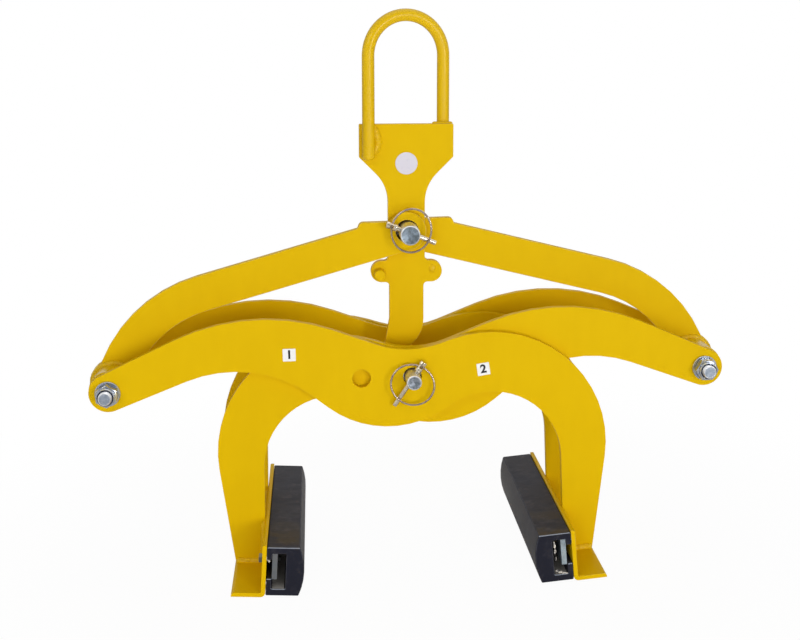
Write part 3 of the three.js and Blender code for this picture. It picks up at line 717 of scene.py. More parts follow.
def hexagon(name, flats, front, back, place=Vector(), turn=0.0):
    """A hexagon bar along Y, cut from a longer bar by a turned body with chamfered ends."""
    deselect()
    corner = flats / math.sqrt(3)
    bpy.ops.mesh.primitive_cylinder_add(
        vertices=6,
        radius=corner,
        depth=2 * (back - front),
        location=(place.x, (front + back) / 2, place.z),
        rotation=(math.pi / 2, turn, 0),
    )
    piece = made(name)
    rim, wide = flats / 2 * 0.97, corner * 1.05
    rise = (wide - rim) * math.tan(math.radians(30))
    first, last = front + rise, back - rise
    profile = [(0, front), (rim, front), (wide, first), (wide, last), (rim, back), (0, back)]
    # A facet more than the pieces it meets, so that few of their edges fall in line
    steps = fitting_sizes().round_steps + 1
    return combine(piece, turned(name + "_cone", profile, place, steps), "INTERSECT")


# Plates


def ground_plate(node, finishes, edge):
    """A cut plate: the CAD node's shape with ground edges of their own finish."""
    piece = copy_of(node, node + "_plate")
    for _ in finishes:
        piece.data.materials.append(None)
    modify(
        piece, "BEVEL", width=edge, segments=2, limit_method="ANGLE", material=1,
        angle_limit=plate_sizes().sharp, use_clamp_overlap=True, miter_outer="MITER_ARC",
    )
    smooth(piece)
    modify(piece, "WEIGHTED_NORMAL", mode="FACE_AREA", weight=50, keep_sharp=True)
    return seat(piece, finishes, [node])


class TONGS_OT_plates(bpy.types.Operator):
    """Build the painted plates of the arms, links, feet and hanger"""

    bl_idname = "tongs.plates"
    bl_label = "Plates"

    def execute(self, context):
        edge = plate_sizes().plate_edge
        nodes = ["suspension_plate", "link_left", "link_right", "foot_left", "foot_right"]
        nodes += [f"arm_{arm}_{row}" for arm in "ab" for row in ("front", "rear")]
        for node in nodes:
            ground_plate(node, ["paint", "edge"], edge)
        return {"FINISHED"}


# Bail and stop pins


def leaned():
    """The hanger's lean about its pivot."""
    sizes = plate_sizes()
    pivot = Matrix.Translation((0, 0, sizes.top_pin))
    return pivot @ Matrix.Rotation(sizes.lean, 4, "Y") @ pivot.inverted()


def bail():
    """A round bar bent to a half circle between two straight legs."""
    sizes = plate_sizes()
    arch = math.hypot(sizes.bail_half, sizes.bail_offset)
    arch_height = sizes.bail_top - sizes.bail_bar - arch
    deselect()
    bpy.ops.mesh.primitive_circle_add(
        vertices=36,
        radius=sizes.bail_bar,
        fill_type="NGON",
        location=(-sizes.bail_half, -sizes.bail_offset, sizes.bail_low),
    )
    piece = named(bpy.context.object, "bent_bail")
    edit(piece)
    up = (0, 0, arch_height - sizes.bail_low)
    down = (0, 0, sizes.bail_low - arch_height)
    bpy.ops.mesh.extrude_region_move(TRANSFORM_OT_translate={"value": up})
    bpy.ops.mesh.spin(
        steps=44,
        angle=math.pi,
        center=(0, 0, arch_height),
        axis=(sizes.bail_offset / arch, -sizes.bail_half / arch, 0),
    )
    bpy.ops.mesh.extrude_region_move(TRANSFORM_OT_translate={"value": down})
    bpy.ops.mesh.select_all(action="SELECT")
    bpy.ops.mesh.remove_doubles(threshold=sizes.merge)
    bpy.ops.mesh.normals_make_consistent(inside=False)
    close()
    placed(piece, leaned())
    round_off = sizes.bail_bar * 0.5
    modify(
        piece, "BEVEL", width=round_off, segments=5, limit_method="ANGLE", angle_limit=sizes.sharp
    )
    return smooth(piece)


# The stop pins, with the way along Y in which each stands out of the hanger
STOP_PINS = {"stop_pin_front": -1, "stop_pin_rear": 1}


def root_and_tip(node, outward):
    """The ends of a stop pin along Y, the one on the hanger first."""
    front, back = span(node)
    return (back, front) if outward < 0 else (front, back)


class TONGS_OT_bail(bpy.types.Operator):
    """Build the lifting bail and the two stop pins on the hanger's ears"""

    bl_idname = "tongs.bail"
    bl_label = "Bail and stop pins"

    def execute(self, context):
        seat(bail(), ["gloss"], ["lifting_bail"])
        round_off, edge = 1.6 * MM, 0.5 * MM
        for node, outward in STOP_PINS.items():
            root, tip = root_and_tip(node, outward)
            place, radius = middle(node), half_width(node)
            profile = [
                (0, root), (radius, root), (radius, tip - outward * round_off),
                (radius - edge, tip - outward * edge), (radius - round_off, tip), (0, tip),
            ]
            piece = smooth(turned(node + "_stub", profile, place))
            seat(piece, ["paint"], [node])
        return {"FINISHED"}


# Pins, spacer, sleeves and washers


def clip_frame(pin, turn):
    """The place of a clip: its rod along X, through the middle of its pin."""
    front = span(pin)[0] + fitting_sizes().clip_setback
    place = middle(pin)
    return Matrix.Translation((place.x, front, place.z)) @ Matrix.Rotation(turn, 4, "Y")


def headed_pin(node, name, radius, head, turn):
    """A turned pin with a chamfered head, drilled across for its clip."""
    sizes = fitting_sizes()
    front, back = span(node)
    place = middle(node)
    wide = half_width(node)
    neck, bevel, fillet, corner = back - head, 1.0 * MM, 0.6 * MM, 0.3 * MM
    hole = sizes.clip_rod + sizes.clearance
    profile = [
        (0, front + 1.3 * MM), (1.1 * MM, front + 0.2 * MM), (1.6 * MM, front + 0.1 * MM),
        (radius - 1.8 * MM, front + 0.1 * MM), (radius - 1.5 * MM, front),
        (radius - bevel, front), (radius - 0.25 * MM, front + 0.6 * MM),
        (radius, front + 1.4 * MM), (radius, neck - fillet), (radius + fillet, neck),
        (wide - bevel, neck), (wide - corner, neck + corner), (wide, neck + bevel),
        (wide, back - bevel), (wide - corner, back - corner), (wide - bevel, back), (0, back),
    ]
    piece = turned(name, profile, place)
    across = [(0, -2 * radius), (hole, -2 * radius), (hole, 2 * radius), (0, 2 * radius)]
    drill = turned(name + "_drill", across, steps=24)
    placed(drill, clip_frame(node, turn) @ Matrix.Rotation(-math.pi / 2, 4, "Z"))
    return smooth(combine(piece, drill, "DIFFERENCE"))


class TONGS_OT_pins(bpy.types.Operator):
    """Build the two pivot pins, the centre spacer, the sleeves, the bushes and the thin washers"""

    bl_idname = "tongs.pins"
    bl_label = "Pins and sleeves"

    def execute(self, context):
        sizes = fitting_sizes()
        top = (sizes.top_pin, sizes.top_head, sizes.top_turn)
        centre = (sizes.centre_pin, sizes.centre_head, sizes.centre_turn)
        for place, values in (("top", top), ("centre", centre)):
            node, name = f"{place}_pivot_pin", f"{place}_pin"
            seat(headed_pin(node, name, *values), [name], [node])
        tubes = [("centre_spacer", sizes.pin_bore, "paint", "yellow_paint", 1.0 * MM)]
        for row in ("front", "rear"):
            tubes.append((f"centre_washer_{row}", sizes.pin_bore, "zinc", "zinc", 0.2 * MM))
        bore = sizes.bolt_radius + sizes.clearance
        for hand in HANDS:
            wall = half_width(f"sleeve_{hand}") - sizes.sleeve_wall
            tubes.append((f"sleeve_{hand}", wall, "gloss", "yellow_paint", 0.8 * MM))
            tubes.append((f"bush_{hand}", bore, "zinc", "zinc", 0.5 * MM))
            for row in ("front", "rear"):
                tubes.append((f"bolt_washer_{hand}_{row}", bore, "zinc", "zinc", 0.45 * MM))
        for node, inner, finish, slot, edge in tubes:
            front, back = span(node)
            place = middle(node)
            wide = half_width(node)
            piece = tube(node + "_ring", wide, inner, front, back, place, edge)
            seat(piece, [finish], [node])
        return {"FINISHED"}


# Bolts and nuts


def thread(radius, front, back, pitch, depth):
    """The profile of a bolt's threaded end, from its chamfered tip to a plain shank."""
    points = [(0, front), (radius - 1.5 * depth, front), (radius - depth, front + depth / 2)]
    y = front + depth / 2
    while y + pitch < back:
        points += [(radius, y + pitch * 0.45), (radius, y + pitch * 0.55)]
        points.append((radius - depth, y + pitch))
        y += pitch
    points.append((radius, back))
    return points


class TONGS_OT_bolts(bpy.types.Operator):
    """Build the outer bolts with their locking nuts, and the bolts that hold the pads"""

    bl_idname = "tongs.bolts"
    bl_label = "Bolts and nuts"

    def execute(self, context):
        sizes = fitting_sizes()
        for hand in HANDS:
            self.outer_bolt(sizes, hand)
            self.nut(sizes, hand)
        self.pad_bolts(sizes)
        return {"FINISHED"}

    def outer_bolt(self, sizes, hand):
        node = f"outer_bolt_{hand}"
        front, back = span(node)
        place = middle(f"bush_{hand}")
        radius, neck = sizes.bolt_radius, back - sizes.bolt_head
        inside = neck + sizes.bolt_head / 2
        end = front + sizes.thread_length
        profile = thread(radius, front, end, sizes.thread_pitch, sizes.thread_depth)
        shank = turned(node + "_shank", [*profile, (radius, inside), (0, inside)], place)
        head = hexagon(node + "_hex", sizes.bolt_flats, neck, back, place)
        piece = smooth(combine(shank, head, "UNION"))
        seat(named(piece, f"hex_bolt_{hand}"), [f"{hand}_bolt"], [node])

    def nut(self, sizes, hand):
        node = f"outer_nut_{hand}"
        front, back = span(node)
        place = middle(f"bush_{hand}")
        hex_front = back - sizes.nut_hex
        turn = sizes.nut_turn if hand == "right" else 0
        body = hexagon(node + "_hex", sizes.bolt_flats, hex_front, back, place, turn)
        wide, lip = sizes.collar_radius, 0.9 * MM
        inside = hex_front + sizes.nut_collar / 2
        collar = [
            (0, front), (wide - 1.6 * lip, front), (wide - 0.5 * lip, front + 0.3 * lip),
            (wide, front + lip), (wide, inside), (0, inside),
        ]
        combine(body, turned(node + "_collar", collar, place), "UNION")
        bore = sizes.bolt_radius + sizes.clearance
        mouth = sizes.insert_radius + sizes.clearance
        shelf = front + sizes.insert_height + sizes.clearance
        before, behind = front - sizes.nut_collar, back + sizes.nut_collar
        hollow = [
            (0, before), (mouth, before), (mouth, shelf), (bore, shelf), (bore, behind), (0, behind)
        ]
        # A facet fewer than the nut, for the same reason as in the hexagon
        steps = sizes.round_steps - 1
        combine(body, turned(node + "_hollow", hollow, place, steps), "DIFFERENCE")
        seat(smooth(named(body, f"lock_nut_{hand}")), ["zinc"], [node])
        insert, ring = f"nut_insert_{hand}", f"nylon_ring_{hand}"
        first, last = span(insert)
        edge = 0.4 * MM
        piece = tube(ring, sizes.insert_radius, bore, first, last, place, edge)
        seat(piece, ["nylon"], [insert])

    def pad_bolts(self, sizes):
        """One bolt modelled along Y, its head's end at 0, then copied to its four places."""
        low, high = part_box("pad_bolt_right_front")
        head, radius, plain = sizes.pad_bolt_head, sizes.pad_bolt, 8 * MM
        profile = thread(radius, low.x - high.x, -head - plain, 1.0 * MM, 0.4 * MM)
        profile += [(radius, -head / 2), (0, -head / 2)]
        shank = turned("pad_bolt_shank", profile, steps=32)
        top = hexagon("pad_bolt_hex", sizes.pad_bolt_flats, -head, 0)
        pattern = smooth(combine(shank, top, "UNION"))
        for hand, side in HANDS.items():
            lean = Matrix.Rotation(-side * plate_sizes().foot_tilt, 4, "Y")
            outward = Matrix.Rotation(-side * math.pi / 2, 4, "Z")
            for row in ("front", "rear"):
                node, name = f"pad_bolt_{hand}_{row}", f"pad_screw_{hand}_{row}"
                place = pad_bolt_end(side)
                place.y = middle(node).y
                piece = named(new_piece(name, pattern.data), name)
                placed(piece, Matrix.Translation(place) @ lean @ outward)
                seat(piece, ["dull_zinc"], [node])
        bpy.data.objects.remove(pattern)


def tilted(x, z, side):
    """A point of the upright foot, tilted about the hip and lifted onto the ground."""
    sizes = plate_sizes()
    hip = Vector((sizes.hip_x, 0, sizes.hip_z))
    turn = Matrix.Rotation(-sizes.foot_tilt, 4, "Y")
    point = hip + turn @ (Vector((x, 0, z)) - hip)
    return Vector((side * point.x, 0, point.z + sizes.foot_lift))


def pad_bolt_end(side):
    """The outer end of a pad bolt's head, on the middle plane between front and back."""
    sizes = fitting_sizes()
    x = plate_sizes().hip_x + sizes.clearance + sizes.pad_bolt_head
    return tilted(x, sizes.pad_bolt_height, side)


# Clips


def clip_rod(name, reach, matrix):
    """A turned rod with a grooved head, drilled across for the ring."""
    sizes = fitting_sizes()
    rod, head = sizes.clip_rod, sizes.clip_head
    start = -reach - sizes.clip_head_length / 2
    end = start + sizes.clip_head_length
    tip = sizes.clip_length - reach
    neck, hole = head - 0.7 * MM, 2.1 * MM
    profile = [
        (0, start), (head - 1.2 * MM, start), (head - 0.3 * MM, start + 0.4 * MM),
        (head, start + 1.3 * MM), (head, -reach - 3 * MM), (neck, -reach - 2.2 * MM),
        (neck, -reach + 2.2 * MM), (head, -reach + 3 * MM), (head, end - 1.3 * MM),
        (head - 0.3 * MM, end - 0.4 * MM), (head - 1.2 * MM, end), (rod, end),
        (rod, tip - 1.4 * MM), (rod - 0.3 * MM, tip - 0.5 * MM), (rod - 1.1 * MM, tip), (0, tip),
    ]
    piece = turned(name, profile, steps=36)
    placed(piece, Matrix.Rotation(-math.pi / 2, 4, "Z"))
    across = [(0, -2 * head), (hole, -2 * head), (hole, 2 * head), (0, 2 * head)]
    drill = turned(name + "_hole", across, steps=24)
    skew = Matrix.Rotation(-sizes.ring_skew, 4, "Y")
    placed(drill, Matrix.Translation((-reach, 0, 0)) @ skew)
    combine(piece, drill, "DIFFERENCE")
    return smooth(placed(piece, matrix))


def clip_ring(name, reach, matrix):
    """A wire ring, a little oval, that turns in the clip's head and lies on its rod."""
    sizes = fitting_sizes()
    deselect()
    bpy.ops.mesh.primitive_torus_add(
        major_radius=sizes.ring_width / 2,
        minor_radius=sizes.clip_wire,
        major_segments=96,
        minor_segments=14,
        rotation=(math.pi / 2, 0, 0),
    )
    piece = made(name)
    oval = sizes.ring_length / sizes.ring_width
    edit(piece)
    bpy.ops.transform.resize(value=(oval, 1, 1), center_override=(0, 0, 0))
    bpy.ops.transform.translate(value=(sizes.ring_length / 2, 0, 0))
    close()
    lift = sizes.clip_rod + sizes.clip_wire + sizes.clearance
    lay = Matrix.Rotation(-math.asin(lift / sizes.ring_length), 4, "Z")
    skew = Matrix.Rotation(-sizes.ring_skew, 4, "Y")
    return smooth(placed(piece, matrix @ Matrix.Translation((-reach, 0, 0)) @ skew @ lay))


class TONGS_OT_clips(bpy.types.Operator):
    """Build the two ring clips"""

    bl_idname = "tongs.clips"
    bl_label = "Ring clips"

    def execute(self, context):
        sizes = fitting_sizes()
        for place, pin, turn, reach in (
            ("top", "top_pivot_pin", sizes.top_turn, sizes.top_reach),
            ("centre", "centre_pivot_pin", sizes.centre_turn, sizes.centre_reach),
        ):
            matrix = clip_frame(pin, turn)
            rod = clip_rod(f"{place}_rod", reach, matrix)
            seat(rod, ["clip_rod"], [f"{place}_clip_pin"])
            ring = clip_ring(f"{place}_ring", reach, matrix)
            seat(ring, ["clip_ring"], [f"{place}_clip_ring"])
        return {"FINISHED"}


# Pads and bars

# Torn flakes on a pad's front end, in millimetres along X and Z
FLAKE_PLACES = {
    "left": [(-177.7, 47.8), (-175.5, 45.2), (-180.0, 18.3), (-178.0, 9.5)],
    "right": [
        (170.8, 55), (174, 54.3), (177.6, 52.8), (157.6, 48.4), (158.4, 44.8), (158.8, 38.3),
        (160, 29.4), (161.6, 14), (165.5, 12), (169.4, 11.2), (173.5, 10.4), (177.8, 9.6),
    ],
}
# Heights between which the flakes hang on the core's upright sides, in millimetres
CORE_SIDE = (15, 50)


class TONGS_OT_pads(bpy.types.Operator):
    """Build the rubber pads with their torn flakes, and the bars inside them"""

    bl_idname = "tongs.pads"
    bl_label = "Pads and bars"

    def execute(self, context):
        sizes = plate_sizes()
        for hand in HANDS:
            pad, bar = f"rubber_pad_{hand}", f"clamp_bar_{hand}"
            ground_plate(pad, ["rubber", "rubber_edge"], sizes.pad_edge)
            ground_plate(bar, [f"{hand}_bar"] * 2, sizes.bar_edge)
            self.flakes(hand)
        return {"FINISHED"}

    def flakes(self, hand):
        """Torn pale flakes round the mouth of a pad's core."""
        draw = random.Random(40)
        front = span(f"rubber_pad_{hand}")[0]
        flakes = []
        for i, (x, z) in enumerate(FLAKE_PLACES[hand]):
            radius = draw.uniform(1.4, 2.3) * MM
            deselect()
            bpy.ops.mesh.primitive_ico_sphere_add(subdivisions=2, radius=radius)
            flake = bpy.context.object
            edit(flake)
            bpy.ops.transform.vertex_random(offset=0.5 * radius, seed=i)
            upright = CORE_SIDE[0] < z < CORE_SIDE[1]
            stretch = (0.6, 0.5, 1.4) if upright else (1.4, 0.5, 0.6)
            bpy.ops.transform.resize(value=stretch, center_override=(0, 0, 0))
            close()
            place = Vector((x * MM, front + 0.75 * radius, z * MM))
            flakes.append(placed(flake, Matrix.Translation(place)))
        piece = smooth(named(joined(*flakes), f"torn_flakes_{hand}"), math.radians(20))
        seat(piece, ["flake"], body=BODY_OF_NODE[f"rubber_pad_{hand}"])


# Welds


def bead(name, path, radius, seed, flat=0.8, soft=2):
    """A weld bead along a path: overlapping lumps of uneven size, fused and smoothed."""
    draw = random.Random(seed)
    deselect()
    bpy.ops.mesh.primitive_uv_sphere_add(segments=14, ring_count=8, radius=radius)
    lump = bpy.context.object
    edit(lump)
    bpy.ops.transform.resize(value=(1, 1, flat), center_override=(0, 0, 0))
    close()
    copies = []
    for point in path:
        copy = new_piece(name, lump.data)
        jitter = Vector([draw.uniform(-1, 1) for _ in range(3)]) * radius * 0.06
        size = draw.uniform(0.9, 1.08)
        copy.matrix_world = Matrix.Translation(point + jitter) @ Matrix.Scale(size, 4)
        copies.append(copy)
    bpy.data.objects.remove(lump)
    piece = joined(*copies) if len(copies) > 1 else copies[0]
    take(piece)
    bpy.ops.object.transform_apply(location=True, rotation=True, scale=True)
    modify(piece, "REMESH", mode="VOXEL", voxel_size=fitting_sizes().voxel)
    modify(piece, "SMOOTH", factor=0.5, iterations=soft)
    return smooth(named(piece, name), math.pi)


def weld(node, name, path, radius, seed, **form):
    """A painted bead that moves with a node's body."""
    piece = bead(name, path, radius, seed, **form)
    return seat(piece, ["weld"], body=BODY_OF_NODE[node])


def line(start, end, step):
    """Points along a straight weld."""
    count = max(1, round((end - start).length / step))
    return [start.lerp(end, i / count) for i in range(count + 1)]


def circle(x, y, z, radius, step):
    """Points round a weld in a plane across Y."""
    centre = Vector((x, y, z))
    count = max(3, round(radius * math.radians(360.0) / step))
    turns = [math.radians(360.0 * i / count) for i in range(count + 1)]
    return [centre + Vector((radius * math.cos(a), 0, radius * math.sin(a))) for a in turns]


class TONGS_OT_welds(bpy.types.Operator):
    """Build the welds on the feet, the link sleeves, the bail, the stop pins and an ear"""

    bl_idname = "tongs.welds"
    bl_label = "Welds"

    def execute(self, context):
        sizes = fitting_sizes()
        self.foot_welds(sizes)
        self.sleeve_welds(sizes)
        self.bail_welds(sizes)
        self.stop_welds(sizes)
        return {"FINISHED"}

    def foot_welds(self, sizes):
        """Fillets in the corner between an arm's leg and the two legs of its angle section."""
        plates = plate_sizes()
        radius = sizes.bead * 1.4
        step = radius * 0.3
        inset = radius * 0.1
        flange = plates.foot_thickness + inset
        wall = plates.hip_x + inset
        low = [(wall, flange), (plates.hip_x + plates.leg_width - radius, flange)]
        tall = [(wall, flange), (wall, plates.hip_z - 2 * radius)]
        for (hand, side), arm in zip(HANDS.items(), "ba"):
            for row in ("front", "rear"):
                node = f"arm_{arm}_{row}"
                for face, (y, outward) in enumerate(zip(span(node), (-1, 1))):
                    path = []
                    for corners in (low, tall):
                        start, end = [tilted(x, z, side) for x, z in corners]
                        start.y = end.y = y - outward * inset
                        path += line(start, end, step)
                    name = f"foot_weld_{hand}_{row}_{face}"
                    weld(node, name, path, radius, face, flat=1.1, soft=8)

    def sleeve_welds(self, sizes):
        """Round beads between a link's two faces and its sleeve."""
        for hand in HANDS:
            node, sleeve = f"link_{hand}", f"sleeve_{hand}"
            place = middle(sleeve)
            radius = half_width(sleeve) + sizes.bead * 0.15
            for face, y in enumerate(span(node)):
                path = circle(place.x, y, place.z, radius, sizes.bead * 0.5)
                weld(node, f"sleeve_weld_{hand}_{face}", path, sizes.bead * 1.3, 10 + face, soft=8)

    def bail_welds(self, sizes):
        """Beads along both sides of the bail's legs, over the right leg and in the right ear."""
        plates = plate_sizes()
        node = "suspension_plate"
        plate_face, plate_top = 5 * MM, plates.top_pin + 129 * MM
        margin = 1 * MM
        for leg, side in HANDS.items():
            for face, hand in enumerate((-1, 1)):
                x = side * plates.bail_half + hand * plates.bail_bar * 0.72
                y = side * plate_face + side * sizes.fine_bead * 0.6
                start = Vector((x, y, plates.bail_low + margin))
                end = Vector((x, y, plate_top - margin))
                radius, swell = sizes.bead * 0.85, 0
                if (leg, hand) == ("left", 1):
                    radius, swell = sizes.bead * 2.1, sizes.bead * 1.7
                    start += Vector((0, 4 * MM, 5 * MM))
                    end += Vector((0, 4 * MM, -5 * MM))
                path = line(start, end, sizes.bead * 0.4)
                for i, point in enumerate(path):
                    point.x += swell * math.sin(math.pi * i / (len(path) - 1))
                path = [leaned() @ point for point in path]
                weld(node, f"bail_weld_{leg}_{face}", path, radius, 20 + face, soft=8)
        inner = Vector((37 * MM, 3.5 * MM, 534.4 * MM))
        outer = Vector((56 * MM, 3.5 * MM, 534 * MM))
        skirt = line(inner, outer, 1.5 * MM)
        weld(node, "bail_weld_right_top", skirt, sizes.bead, 24, soft=6)
        ear_hole = Vector((31 * MM, -1.6 * MM, 357 * MM))
        weld(node, "ear_plug_weld", [ear_hole], 6.4 * MM, 25, flat=1.2)

    def stop_welds(self, sizes):
        """Round beads at the roots of the stop pins."""
        for node, outward in STOP_PINS.items():
            root, _ = root_and_tip(node, outward)
            place = middle(node)
            radius = half_width(node) - sizes.fine_bead * 0.3
            path = circle(place.x, root, place.z, radius, sizes.fine_bead * 0.5)
            weld(node, node + "_weld", path, sizes.fine_bead * 0.8, 30)


# Labels and sticker


def digit(text, centre, turn):
    """A digit printed on a label, as a flat mesh."""
    sizes = fitting_sizes()
    deselect()
    bpy.ops.object.text_add()
    piece = bpy.context.object
    piece.data.body = text
    # A digit is two thirds as tall as the type it is set in
    piece.data.size = sizes.digit_height * 1.5
    piece.data.extrude = 0.03 * MM
    piece.data.offset = 0.5 * MM
    piece.data.align_x = "CENTER"
    piece.data.align_y = "CENTER"
    take(piece)
    bpy.ops.object.convert(target="MESH")
    piece = bpy.context.object
    upright = Matrix.Rotation(math.pi / 2, 4, "X")
    placed(piece, Matrix.Translation(centre) @ Matrix.Rotation(turn, 4, "Y") @ upright)
    return piece


def rounded_label(name, centre, size, thickness, turn):
    """A square label with rounded corners, its back on the plate."""
    deselect()
    bpy.ops.mesh.primitive_cube_add(size=1, scale=(size, thickness, size))
    piece = made(name)
    edit(piece, "EDGE")
    bpy.ops.mesh.select_all(action="DESELECT")
    close()
    for edge in piece.data.edges:
        first, second = [piece.data.vertices[i].co.y for i in edge.vertices]
        edge.select = abs(first - second) > thickness / 2
    bpy.ops.object.mode_set(mode="EDIT")
    bpy.ops.mesh.select_mode(type="EDGE")
    bpy.ops.mesh.bevel(offset=0.8 * MM, segments=4)
    close()
    placed(piece, Matrix.Translation(centre) @ Matrix.Rotation(turn, 4, "Y"))
    return smooth(piece)


class TONGS_OT_labels(bpy.types.Operator):
    """Build the round sticker and the two position labels with their digits"""

    bl_idname = "tongs.labels"
    bl_label = "Labels"

    def execute(self, context):
        sizes = fitting_sizes()
        for text, node, turn in (("1", "label_1", 0.0), ("2", "label_2", sizes.label_turn)):
            front, back = span(node)
            centre = middle(node)
            thickness = back - front
            piece = rounded_label(node + "_film", centre, sizes.label_size, thickness, turn)
            seat(piece, ["label"], [node])
            face = Vector((centre.x, front - 0.02 * MM, centre.z))
            print_piece = named(digit(text, face, turn), node + "_digit")
            seat(print_piece, ["ink"], body=BODY_OF_NODE[node])
        node, edge = "round_sticker", 0.15 * MM
        front, back = span(node)
        place, radius = middle(node), half_width(node)
        rim = [(radius - edge, front), (radius, front + edge), (radius, back)]
        disc = turned("sticker_disc", [(0, front), *rim, (0, back)], place)
        seat(smooth(disc), ["sticker"], [node])
        return {"FINISHED"}


# Stage


class TongsStage(bpy.types.PropertyGroup):
    """Sizes and levels of the stage"""

    lens: number("Lens", "Focal length in millimetres", 52.2)
    camera_x: length("Camera, sideways", "Camera's place along X", -106.1)
    camera_y: length("Camera, back", "Camera's place along Y", -1394.3)
    camera_z: length("Camera, up", "Camera's place along Z", 646.1)
    yaw: angle("Yaw", "Camera's turn towards +X", 4.05)
    pitch: angle("Pitch", "Camera's tilt below level", 9.47)
    roll: angle("Roll", "Camera's roll", -1.1)
    rise: number("Rise", "Camera's vertical shift", -0.12)
    world: number("World", "Level of the light from all round", 0.29)
    shade: number("Shade", "Grey that metal mirrors in front", 0.3)
    front: number("Front", "Power of the wide front light", 17.2)
    key: number("Key", "Power of the light at the upper left", 8)
    top: number("Top", "Power of the light above", 14)
    strip: number("Strip", "Power of the upright strip light", 38)
    back: number("Back", "Power of the light behind", 30)


def camera(stage):
    """The camera at the photograph's place."""
    forward = Vector((
        math.sin(stage.yaw) * math.cos(stage.pitch),
        math.cos(stage.yaw) * math.cos(stage.pitch),
        -math.sin(stage.pitch),
    ))
    level = Vector((math.cos(stage.yaw), -math.sin(stage.yaw), 0))
    upright = level.cross(forward)
    right = math.cos(stage.roll) * level + math.sin(stage.roll) * upright
    up = math.cos(stage.roll) * upright - math.sin(stage.roll) * level
    bpy.ops.object.camera_add()
    camera = bpy.context.object
    axes = Matrix((right, up, -forward)).transposed().to_4x4()
    place = Vector((stage.camera_x, stage.camera_y, stage.camera_z))
    camera.matrix_world = Matrix.Translation(place) @ axes
    camera.data.lens = stage.lens
    camera.data.sensor_width = 36
    camera.data.shift_y = stage.rise
    bpy.context.scene.camera = camera


def lamp(name, place, target, width, tall, power, mirrored):
    """A rectangular lamp aimed at a target, seen or not seen in glossy faces."""
    bpy.ops.object.light_add(type="AREA", location=place)
    light = bpy.context.object
    light.name = name
    light.data.shape = "RECTANGLE"
    light.data.size = width
    light.data.size_y = tall
    light.data.energy = power
    light.visible_glossy = mirrored
    light.rotation_mode = "QUATERNION"
    light.rotation_quaternion = (target - Vector(place)).to_track_quat("-Z", "Y")


def white_world(level, shade):
    """White behind the object and round it, a grey front side for metal to mirror."""
    world = bpy.context.scene.world or bpy.data.worlds.new("World")
    bpy.context.scene.world = world
    world.use_nodes = True
    nodes, links = world.node_tree.nodes, world.node_tree.links
    nodes.clear()

    def largest(first, second):
        node = nodes.new("ShaderNodeMath")
        node.operation = "MAXIMUM"
        links.new(first, node.inputs[0])
        links.new(second, node.inputs[1])
        return node.outputs[0]

    path = nodes.new("ShaderNodeLightPath").outputs
    seen = largest(path["Is Camera Ray"], path["Is Transmission Ray"])
    direction = nodes.new("ShaderNodeSeparateXYZ")
    links.new(nodes.new("ShaderNodeTexCoord").outputs["Generated"], direction.inputs[0])
    grey = nodes.new("ShaderNodeMapRange")
    grey.interpolation_type = "SMOOTHSTEP"
    for key, value in (("From Min", -0.95), ("From Max", -0.5), ("To Min", shade), ("To Max", 1)):
        grey.inputs[key].default_value = value
    links.new(direction.outputs["Y"], grey.inputs["Value"])
    lit, white = nodes.new("ShaderNodeBackground"), nodes.new("ShaderNodeBackground")
    for background in (lit, white):
        background.inputs["Color"].default_value = (1, 1, 1, 1)
    lit.inputs["Strength"].default_value = level
    links.new(largest(seen, grey.outputs["Result"]), white.inputs["Strength"])
    mix = nodes.new("ShaderNodeMixShader")
    links.new(largest(seen, path["Is Glossy Ray"]), mix.inputs[0])
    links.new(lit.outputs[0], mix.inputs[1])
    links.new(white.outputs[0], mix.inputs[2])
    links.new(mix.outputs[0], nodes.new("ShaderNodeOutputWorld").inputs[0])


def floor_finish():
    """A pale floor that looks white where nothing shades it."""
    finish = Finish("pale_floor", roughness=0.9, specular_ior_level=0.0)
    tones = colours()
    grain = finish.blotches(600)
    finish.feed(base_color=finish.blend(0.05 * grain, tones.floor, tones.sticker))
    away = finish.node(
        "ShaderNodeVectorMath", {"operation": "LENGTH"}, {0: finish.place}, output="Value"
    )
    white = 0.96 + 0.04 * finish.ramp(away, 0.3, 0.8)
    path = finish.node("ShaderNodeLightPath", output="Is Camera Ray")
    glow = finish.node("ShaderNodeEmission", inputs={"Color": (1, 1, 1), "Strength": 1.0})
    shaded = Amount(finish, finish.shader.outputs[0])
    mixed = finish.node("ShaderNodeMixShader", inputs={0: path * white, 1: shaded, 2: glow})
    output = finish.tree.nodes["Material Output"]
    finish.tree.links.new(mixed.socket, output.inputs["Surface"])
    return finish.material


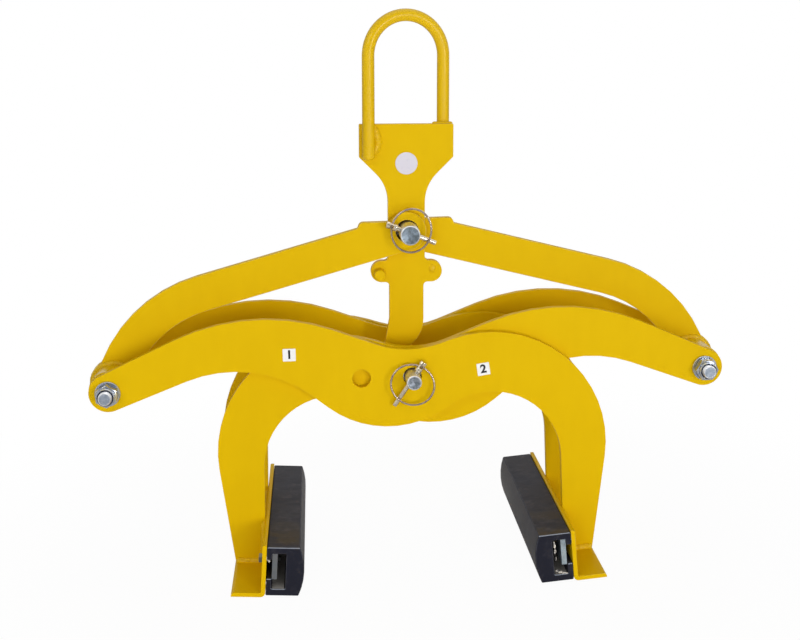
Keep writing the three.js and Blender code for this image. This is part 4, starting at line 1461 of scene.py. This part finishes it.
class TONGS_OT_stage(bpy.types.Operator):
    """Set up the pale floor, the soft lights and the camera"""

    bl_idname = "tongs.stage"
    bl_label = "Stage"

    def execute(self, context):
        stage = context.scene.tongs_stage
        context.scene.view_settings.view_transform = "Standard"
        deselect()
        camera(stage)
        target = Vector((0, 0, 0.3))
        lamps = (
            ("front_light", (0.0, -2.2, 0.38), 2.0, 0.7, stage.front, False),
            ("key_light", (-1.5, -1.9, 1.8), 0.9, 0.9, stage.key, True),
            ("strip_light", (2.0, -3.4, 0.5), 0.3, 1.7, stage.strip, True),
            ("back_light", (0.0, 2.8, 0.4), 2.6, 2.6, stage.back, False),
            ("top_light", (0.3, 0.2, 3.0), 2.4, 2.4, stage.top, True),
        )
        for name, place, *values in lamps:
            lamp(name, place, target, *values)
        white_world(stage.world, stage.shade)
        deselect()
        bpy.ops.mesh.primitive_plane_add(size=60, location=(0, 0, -0.0005))
        floor = made("studio_floor")
        floor.data.materials.append(floor_finish())
        return {"FINISHED"}


class TONGS_PT_panel(bpy.types.Panel):
    """Lists the pieces of the tongs"""

    bl_label = "Stone lifting tongs"
    bl_idname = "TONGS_PT_panel"
    bl_space_type = "VIEW_3D"
    bl_region_type = "UI"
    bl_category = "Tongs"

    def draw(self, context):
        for operator in OPERATORS:
            self.layout.operator(operator.bl_idname)


GROUPS = {
    "tongs_plates": TongsPlateSizes,
    "tongs_fittings": TongsFittingSizes,
    "tongs_colours": TongsColours,
    "tongs_stage": TongsStage,
}
OPERATORS = (
    TONGS_OT_plates,
    TONGS_OT_bail,
    TONGS_OT_pins,
    TONGS_OT_bolts,
    TONGS_OT_clips,
    TONGS_OT_pads,
    TONGS_OT_welds,
    TONGS_OT_labels,
    TONGS_OT_stage,
)


CLASSES = (*GROUPS.values(), *OPERATORS, TONGS_PT_panel)


def register():
    for cls in CLASSES:
        bpy.utils.register_class(cls)
    for name, group in GROUPS.items():
        setattr(bpy.types.Scene, name, PointerProperty(type=group))


def unregister():
    for name in GROUPS:
        delattr(bpy.types.Scene, name)
    for cls in reversed(CLASSES):
        bpy.utils.unregister_class(cls)


def main():
    register()
    bpy.ops.tongs.plates()
    bpy.ops.tongs.bail()
    bpy.ops.tongs.pins()
    bpy.ops.tongs.bolts()
    bpy.ops.tongs.clips()
    bpy.ops.tongs.pads()
    bpy.ops.tongs.welds()
    bpy.ops.tongs.labels()
    bpy.ops.tongs.stage()


if __name__ == "__main__":
    main()
